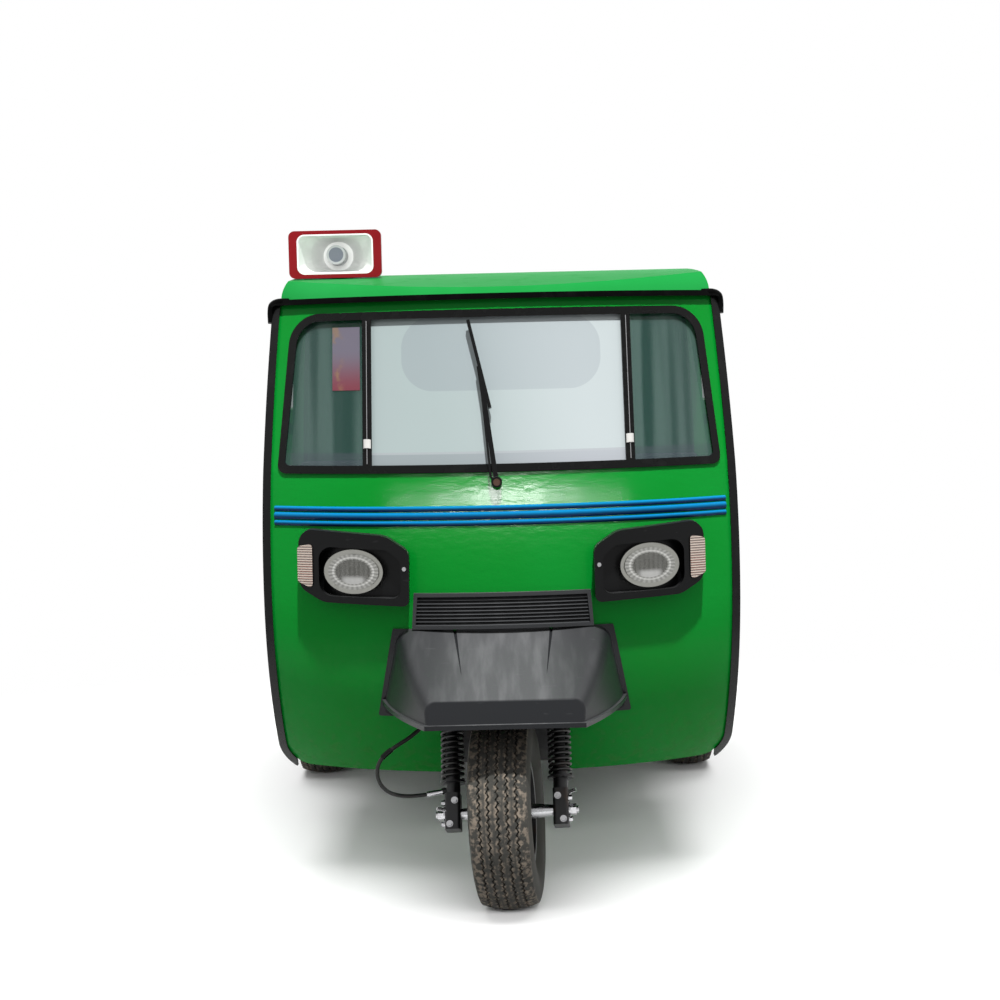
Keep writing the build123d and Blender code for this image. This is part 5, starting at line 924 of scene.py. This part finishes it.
# %% Blue beads
BEADS = ((1.074, 0.0075, 0.006), (1.054, 0.0105, 0.007), (1.034, 0.0075, 0.006))
HALF_STATIONS = 20
trim_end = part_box("blue_trim")[0][0] * 0.992
bead_points, bead_faces = [], []
for z, half, proud in BEADS:
    path = []
    for step in range(2 * HALF_STATIONS + 1):
        place, level, normal = skin_station("front_panel", trim_end * (1 - step / HALF_STATIONS), z)
        path.append((place, normal.cross(level), normal))
    points, faces = sweep(path, bead(half, proud))
    bead_faces += [tuple(corner + len(bead_points) for corner in face) for face in faces]
    bead_points += points
beads = keep("blue_trim_beads", skin(bead_points, bead_faces), "body", trim_blue)
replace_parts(beads, "blue_trim")
print("beads", len(BEADS), "faces", len(bead_faces))

# %% [markdown]
# ## Lamp bowls
# Behind each lens lies a shallow bright dish with a bulb shield in its middle. The dish is an ellipse in the
# plane of the lamp, which leans outwards with the curve of the nose.

# %% Lamp bowls and bulbs
BOWL_WIDE, BOWL_HIGH, BOWL_LIFT, BOWL_DEEP = 0.066, 0.043, 0.0015, 0.0085
RINGS, SPOKES, BULB_R, BULB_LIFTS = 7, 40, 0.013, (0.002, 0.006, 0.0095)


def lamp_bowl(side, label):
    place, across, normal = skin_station("headlamp_reflectors", side * LAMP_X, LAMP_Z)
    rise = normal.cross(across)
    points = [place + normal * BOWL_LIFT]
    for ring in range(1, RINGS + 1):
        share = ring / RINGS
        for step in range(SPOKES):
            t = 2 * math.pi * step / SPOKES
            flat = across * (BOWL_WIDE * share * math.cos(t)) + rise * (BOWL_HIGH * share * math.sin(t))
            points.append(place + flat + normal * (BOWL_LIFT + BOWL_DEEP * share**2))
    faces = [(0, 1 + s, 1 + (s + 1) % SPOKES) for s in range(SPOKES)]
    faces += ring_faces(RINGS, SPOKES, first=1)
    keep(f"lamp_bowl_{label}", skin(points, faces), "body", lamp_silver)
    shield = tube_mesh([place + normal * lift for lift in BULB_LIFTS], BULB_R, 20)
    keep(f"lamp_bulb_{label}", shield, "body", lamp_plastic)


for side, label in SIDES[::-1]:
    lamp_bowl(side, label)
print("lamp bowls ready")

# %% [markdown]
# ## Edging ends
# The rubber edging of the roof does not stop square: each end curls over the corner and hangs down beside the
# cab.

# %% Edging ends
EDGING_R, EDGING_END = 0.0105, ((0.600, -0.006, 1.660), (0.630, 0.004, 1.660), (0.650, 0.022, 1.652),
                                (0.655, 0.026, 1.632), (0.654, 0.020, 1.600))
for side, label in SIDES[::-1]:
    corner, _ = on_face("roof_gutter", side * 0.632, 1.658)
    hang = smooth_line([(side * x, corner.y + y, z) for x, y, z in EDGING_END], 5)
    keep(f"edging_end_{label}", tube_mesh(hang, EDGING_R, 12), "body", gutter_rubber)
print("edging ends ready")

# %% [markdown]
# ## Tail, box and motor details
# What the picture hides is kept plain but usable: latches and reflectors behind, cooling rings on the motor.

# %% Latches, reflectors and rings
def block_mesh(blocks, bevel):
    """Blocks, (centre, size) each, with softened edges."""
    work = bmesh.new()
    for centre, size in blocks:
        for vertex in bmesh.ops.create_cube(work, size=1.0)["verts"]:
            vertex.co = Vector(centre) + Vector([a * b for a, b in zip(vertex.co, size)])
    bmesh.ops.bevel(work, geom=work.edges[:], offset=bevel, segments=2, affect="EDGES", profile=0.5)
    return plain_mesh(work)


SOFT_EDGE, LATCH_X, REFLECTOR_X = 0.003, 0.56, 0.33
RING_R, RINGS_START, RING_STEP, RING_WIDE = 0.077, 0.110, 0.026, 0.008
gate_back, bumper_back = (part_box(node)[1][1] for node in ("tailgate", "rear_bumper"))
latches = []
for x in (-LATCH_X, LATCH_X):
    latches += [((x, gate_back + 0.004, 0.640), (0.060, 0.012, 0.090)),
                ((x, gate_back + 0.016, 0.660), (0.020, 0.016, 0.130))]
keep("gate_latches", block_mesh(latches, SOFT_EDGE), "tailgate", bright_steel)
reflectors = [((x, bumper_back + 0.004, 0.399), (0.090, 0.010, 0.036)) for x in (-REFLECTOR_X, REFLECTOR_X)]
keep("rear_reflectors", block_mesh(reflectors, SOFT_EDGE), "body", amber)
motor_way = Vector((0, -0.300, 0.020)).normalized()
for index in range(7):
    start = Vector((0, REAR_AXLE, HUB_HIGH)) + motor_way * (RINGS_START + index * RING_STEP)
    line = [start + motor_way * (RING_WIDE * share) for share in (0.0, 0.5, 1.0)]
    keep(f"motor_ring_{index}", tube_mesh(line, RING_R, 32), "body", black_metal)
print("tail and motor details ready")

# %% [markdown]
# ## Seat
# The seat pad and backrest are foam in black vinyl. A block with rounded edges looks like wood, so each
# starts a little small and is blown up by a short cloth simulation: the top crowns and the sides pull in at
# the corners.

# %% Vinyl
def seat_vinyl():
    finish = Finish("seat_vinyl")
    cells = finish.node("ShaderNodeTexVoronoi", None, {"Vector": finish.place(), "Scale": 420.0}, "Distance")
    wear = finish.patches(7.0, 4.0, 0.45, 0.75)
    colour = finish.mix(wear * 0.5, (0.016, 0.016, 0.017), (0.060, 0.058, 0.055))
    return finish.paint(colour, 0.45 + wear * 0.2, finish.bump(cells, 0.0010, 0.35))


vinyl = seat_vinyl()
print("vinyl ready")

# %% Padded pieces
PAD_INSET, PAD_BEVEL, PAD_VOXEL, PAD_GAP = 0.012, 0.022, 0.010, 0.0006
PRESSURE, FRAMES, SWELL = 4.0, 20, 0.016


def bake(piece):
    """Applies a piece's modifiers to its mesh."""
    shown = piece.evaluated_get(bpy.context.evaluated_depsgraph_get())
    mesh = bpy.data.meshes.new_from_object(shown)
    piece.modifiers.clear()
    piece.data = mesh


def padded_piece(name, node, axis, sign):
    """A padded block in a CAD solid's place, flat on the side that rests on the carrier."""
    low, high = (Vector(c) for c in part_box(node))
    size = high - low - Vector((PAD_INSET,) * 3)
    piece = stand(name, block_mesh([((low + high) / 2, size)], PAD_BEVEL))
    remesh = piece.modifiers.new("remesh", "REMESH")
    remesh.mode, remesh.voxel_size = "VOXEL", PAD_VOXEL
    bake(piece)
    start = [v.co.copy() for v in piece.data.vertices]
    cloth = piece.modifiers.new("cloth", "CLOTH").settings
    cloth.use_pressure = True
    cloth.uniform_pressure_force = PRESSURE
    cloth.effector_weights.gravity = 0.0
    for frame_number in range(1, FRAMES + 1):
        bpy.context.scene.frame_set(frame_number)
    bake(piece)
    bpy.context.scene.frame_set(1)
    for vertex, old in zip(piece.data.vertices, start):
        moved = vertex.co - old
        if moved.length > SWELL:
            vertex.co = old + moved * (SWELL / moved.length)
    inner, rest = (max, low[axis] + PAD_GAP) if sign < 0 else (min, high[axis] - PAD_GAP)
    for vertex in piece.data.vertices:
        vertex.co[axis] = inner(vertex.co[axis], rest)
    made = piece.data
    bpy.data.objects.remove(piece)
    made.polygons.foreach_set("use_smooth", [True] * len(made.polygons))
    pad = keep(name, made, "body", vinyl)
    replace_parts(pad, node)
    print(name, len(made.polygons), "faces")


padded_piece("seat_pad", "seat_cushion", 2, -1)
padded_piece("seat_back_pad", "seat_backrest", 1, 1)

# %% [markdown]
# ## Studio
# The carrier stands on a pale floor that fades into a white surround. A sun high in front throws short, clear
# shadows under the lamps and the mudguard, and an even sky fills them. The sun is kept off the floor, which
# three wide lamps light instead, so that it only shows a soft shadow. Narrow lamps of three widths give the
# nose a sheen that fades to its ends, a taller one gives it a faint glow, and a small one reaches into the
# horn.

# %% Sky and floor
SKY, SKY_LOW, SKY_TOP = 0.52, 0.30, 0.65
FLOOR_HALF, FADE_START, FADE_END = 8, 2.2, 3.6


def shown_white(web):
    """1 for rays that see the background: straight from the camera, by reflection or through glass."""
    kinds = ("Is Camera Ray", "Is Glossy Ray", "Is Transmission Ray")
    camera_ray, glossy_ray, through_ray = (web.node("ShaderNodeLightPath", out=kind) for kind in kinds)
    return camera_ray.over(glossy_ray).over(through_ray)


def surround():
    world = bpy.data.worlds.new("surround")
    bpy.context.scene.world = world
    world.use_nodes = True
    web = Web(world.node_tree)
    way = web.node("ShaderNodeTexCoord", out="Generated")
    rise = web.node("ShaderNodeSeparateXYZ", None, {0: way}, "Z")
    grey = web.node("ShaderNodeMapRange", None, {"Value": rise, "From Max": SKY_TOP, "To Min": SKY_LOW})
    sky = web.tree.nodes["Background"]
    web.put(sky.inputs["Color"], grey)
    web.put(sky.inputs["Strength"], SKY)
    white = web.node("ShaderNodeBackground", None, {"Color": (1, 1, 1)})
    picked = {0: shown_white(web), 1: Signal(web, sky.outputs[0]), 2: white}
    picked = web.node("ShaderNodeMixShader", None, picked)
    web.put(web.tree.nodes["World Output"].inputs["Surface"], picked)


def floor_finish():
    finish = Finish("studio_floor", 0.0, 0.9)
    finish.paint(finish.mix(shown_white(finish), (0.30, 0.30, 0.30), (0.92, 0.92, 0.92)))
    away = finish.node("ShaderNodeVectorMath", {"operation": "LENGTH"}, {0: finish.place()}, "Value")
    faded = {0: finish.between(away, FADE_START, FADE_END), 1: Signal(finish, finish.shader.outputs[0]),
             2: finish.node("ShaderNodeBsdfTransparent")}
    faded = finish.node("ShaderNodeMixShader", None, faded)
    finish.put(finish.tree.nodes["Material Output"].inputs["Surface"], faded)
    return finish


surround()
floor_mesh = bpy.data.meshes.new("studio_floor")
corners = [(x * FLOOR_HALF, y * FLOOR_HALF, 0) for x, y in ((-1, -1), (1, -1), (1, 1), (-1, 1))]
floor_mesh.from_pydata(corners, [], [(0, 1, 2, 3)])
floor_mesh.materials.append(floor_finish().material)
floor = stand("studio_floor", floor_mesh)
print("floor ready")

# %% Lamps
def lamp(name, data, place, target, power, thing, state="INCLUDE"):
    """A lamp that lights only one thing, or all but that thing."""
    data.energy = power
    made = stand(name, data)
    made.location = place
    made.rotation_euler = (Vector(target) - Vector(place)).to_track_quat("-Z", "Y").to_euler()
    link = bpy.data.collections.new(made.name + "_link")
    link.objects.link(thing)
    link.collection_objects[0].light_linking.link_state = state
    made.light_linking.receiver_collection = link
    return made


def area(name, size):
    data = bpy.data.lights.new(name, "AREA")
    data.shape, (data.size, data.size_y) = "RECTANGLE", size
    return data


SUN_RISE = math.radians(68)
sun_data = bpy.data.lights.new("sun", "SUN")
sun_data.angle = math.radians(2)
sun_place = Vector((0.06, -math.cos(SUN_RISE), math.sin(SUN_RISE))) * 5.0
sun = lamp("sun", sun_data, sun_place, (0, 0, 0), 3.8, floor, "EXCLUDE")
sun.visible_glossy = False
panel, bell = nodes["front_panel"], nodes["horn_bell"]
for name, size, place, target, power, thing in (
        ("floor_lamp_front", (7.0, 3.6), (0, -2.9, 7.0), (0, -2.9, 0), 460, floor),
        ("floor_lamp_back", (7.0, 3.6), (0, 2.6, 7.0), (0, 2.6, 0), 460, floor),
        ("floor_lamp_low", (6.0, 1.2), (0, -5.0, 1.93), (0, -1.0, 0), 230, floor),
        ("horn_fill", (0.8, 0.8), (-0.42, -3.4, 2.0), (-0.42, -0.9, 1.74), 44, bell)):
    lamp(name, area(name, size), place, target, power, thing)
SHEEN_PLACE, SHEEN_AIM = (0.25, -6.5, 2.85), (0, -1.15, 1.10)
for wide, tall, power in ((9.0, 1.1, 260), (9.0, 0.08, 420), (5.0, 0.08, 380), (2.4, 0.08, 320)):
    sheen = lamp("nose_sheen", area("nose_sheen", (wide, tall)), SHEEN_PLACE, SHEEN_AIM, power, panel)
    sheen.visible_diffuse = False
bpy.context.scene.view_settings.view_transform = "Standard"
print("lamps ready")

# %% [markdown]
# ## Sizes
# The view layer is updated, so that the box of every dressed piece is worked out.

# %% Update the view layer
bpy.context.view_layer.update()
